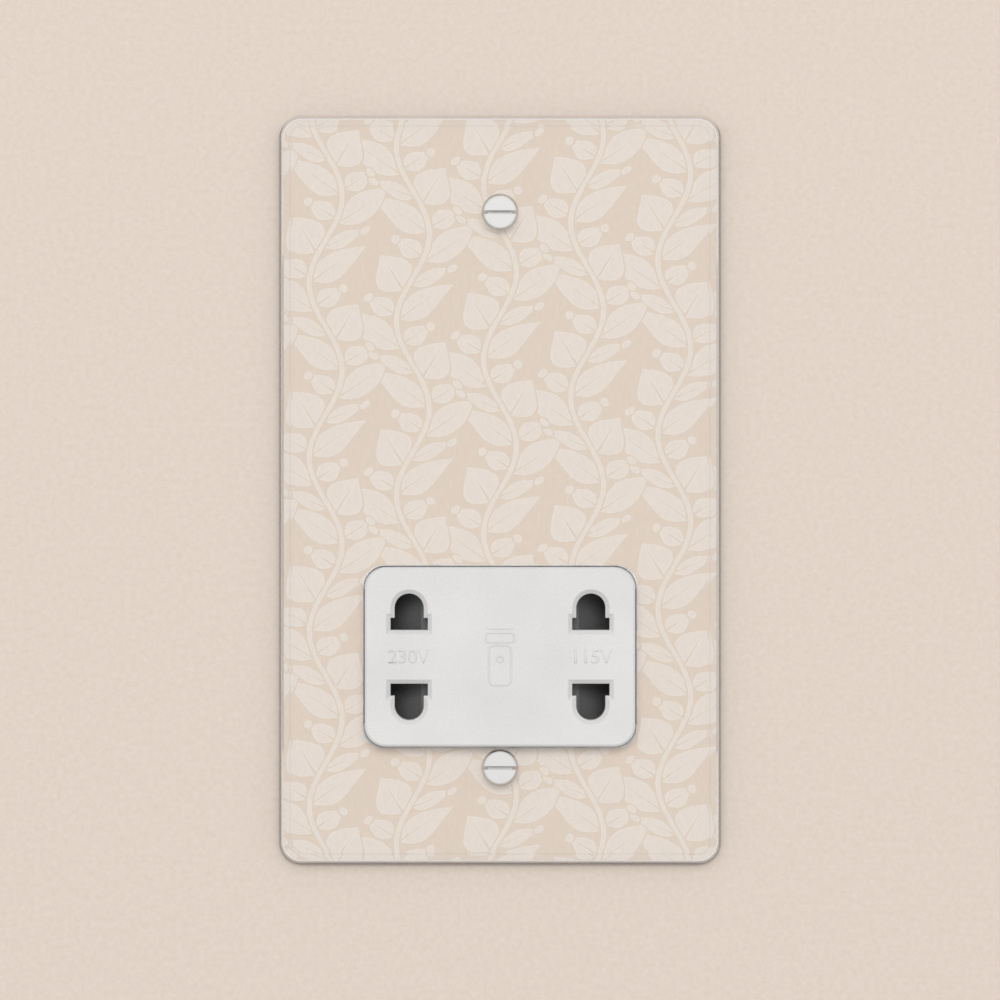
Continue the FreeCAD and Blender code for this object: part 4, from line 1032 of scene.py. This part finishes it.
def make_wall():
    bm = bmesh.new()
    opening = rounded_loop((0.0, 0.0), plate_high.x - OPENING_INSET, plate_high.z - OPENING_INSET,
                           PLATE_CORNER - OPENING_INSET)
    inner = [bm.verts.new((x, WALL_LEVEL, z)) for x, z in opening]
    outer = [bm.verts.new((x * WALL_HALF, WALL_LEVEL, z * WALL_HALF))
             for x, z in ((1, 1), (-1, 1), (-1, -1), (1, -1))]
    per_corner = len(inner) // 4
    for number, first in enumerate(inner):
        corner = number // per_corner
        following = inner[(number + 1) % len(inner)]
        if (number + 1) % per_corner:
            bm.faces.new((following, first, outer[corner]))
        else:
            bm.faces.new((following, first, outer[corner], outer[(corner + 1) % 4]))
    mesh = bpy.data.meshes.new("wall")
    bm.to_mesh(mesh)
    bm.free()
    material, tree, shader = new_material("plain wall")
    fibre = noise(tree, object_place(tree), 900.0, 4.0, 0.6)
    link(tree, mix_colour(tree, remap(tree, fibre, 0.3, 0.7), *WALL_COLOURS), shader.inputs["Base Color"])
    shader.inputs["Roughness"].default_value = 0.85
    add_bump(tree, shader, fibre, mm(0.012))
    through = node(tree, "ShaderNodeBsdfTransparent")
    both = node(tree, "ShaderNodeMixShader")
    link(tree, node(tree, "ShaderNodeNewGeometry").outputs["Backfacing"], both.inputs["Fac"])
    link(tree, shader.outputs[0], both.inputs[1])
    link(tree, through.outputs[0], both.inputs[2])
    link(tree, both.outputs[0], tree.nodes["Material Output"].inputs["Surface"])
    mesh.materials.append(material)
    wall = bpy.data.objects.new("wall", mesh)
    bpy.context.scene.collection.objects.link(wall)


make_wall()


# Framing of the photograph, which looks straight at the plate
PHOTO_PIXELS = 1000
PIXELS_PER_MM = 5.13
VIEW_CENTRE_BELOW_PLATE = mm(1.95)
LENS = 200.0
SENSOR = 36.0

# Light
SKY_LEVEL = 0.58
SKY_COLOUR = (1.0, 0.985, 0.965, 1.0)
BACKDROP_COLOUR = (0.86, 0.84, 0.82, 1.0)
KEY_PLACE = (0.0, -2.85, 1.0)
SOFTBOX_SIZE = (2.2, 1.1)
KEY_WATTS = 43.0
BACK_PLACE = (0.7, 1.3, 0.9)
BACK_WATTS = 22.0


def make_sky():
    world = bpy.data.worlds.new("sky")
    world.use_nodes = True
    tree = world.node_tree
    light = tree.nodes["Background"]
    light.inputs["Color"].default_value = SKY_COLOUR
    light.inputs["Strength"].default_value = SKY_LEVEL
    seen = node(tree, "ShaderNodeBackground")
    seen.inputs["Color"].default_value = BACKDROP_COLOUR
    both = node(tree, "ShaderNodeMixShader")
    path = node(tree, "ShaderNodeLightPath").outputs
    direct = math_node(tree, "MAXIMUM", path["Is Camera Ray"], path["Is Transmission Ray"])
    link(tree, math_node(tree, "MAXIMUM", direct, path["Is Glossy Ray"]), both.inputs["Fac"])
    link(tree, light.outputs[0], both.inputs[1])
    link(tree, seen.outputs[0], both.inputs[2])
    link(tree, both.outputs[0], tree.nodes["World Output"].inputs["Surface"])
    bpy.context.scene.world = world


def make_lamp(name, place, size, watts):
    """Softbox aimed at the part. Its own bright panel isn't seen through the clear plate."""
    data = bpy.data.lights.new(name, "AREA")
    data.shape = "RECTANGLE"
    data.size, data.size_y = size
    data.energy = watts
    lamp = bpy.data.objects.new(name, data)
    lamp.location = place
    lamp.visible_transmission = False
    lamp.rotation_euler = (-Vector(place)).to_track_quat("-Z", "Y").to_euler()
    bpy.context.scene.collection.objects.link(lamp)


def make_camera():
    data = bpy.data.cameras.new("camera")
    data.lens = LENS
    data.sensor_width = SENSOR
    camera = bpy.data.objects.new("camera", data)
    field = mm(PHOTO_PIXELS / PIXELS_PER_MM)
    camera.location = (0.0, BEVEL_LEVEL - field * LENS / SENSOR, -VIEW_CENTRE_BELOW_PLATE)
    camera.rotation_euler = (math.pi / 2, 0.0, 0.0)
    bpy.context.scene.collection.objects.link(camera)
    bpy.context.scene.camera = camera


make_sky()
make_lamp("key_softbox", KEY_PLACE, SOFTBOX_SIZE, KEY_WATTS)
make_lamp("back_softbox", BACK_PLACE, SOFTBOX_SIZE, BACK_WATTS)
make_camera()
bpy.context.scene.view_settings.view_transform = "Standard"
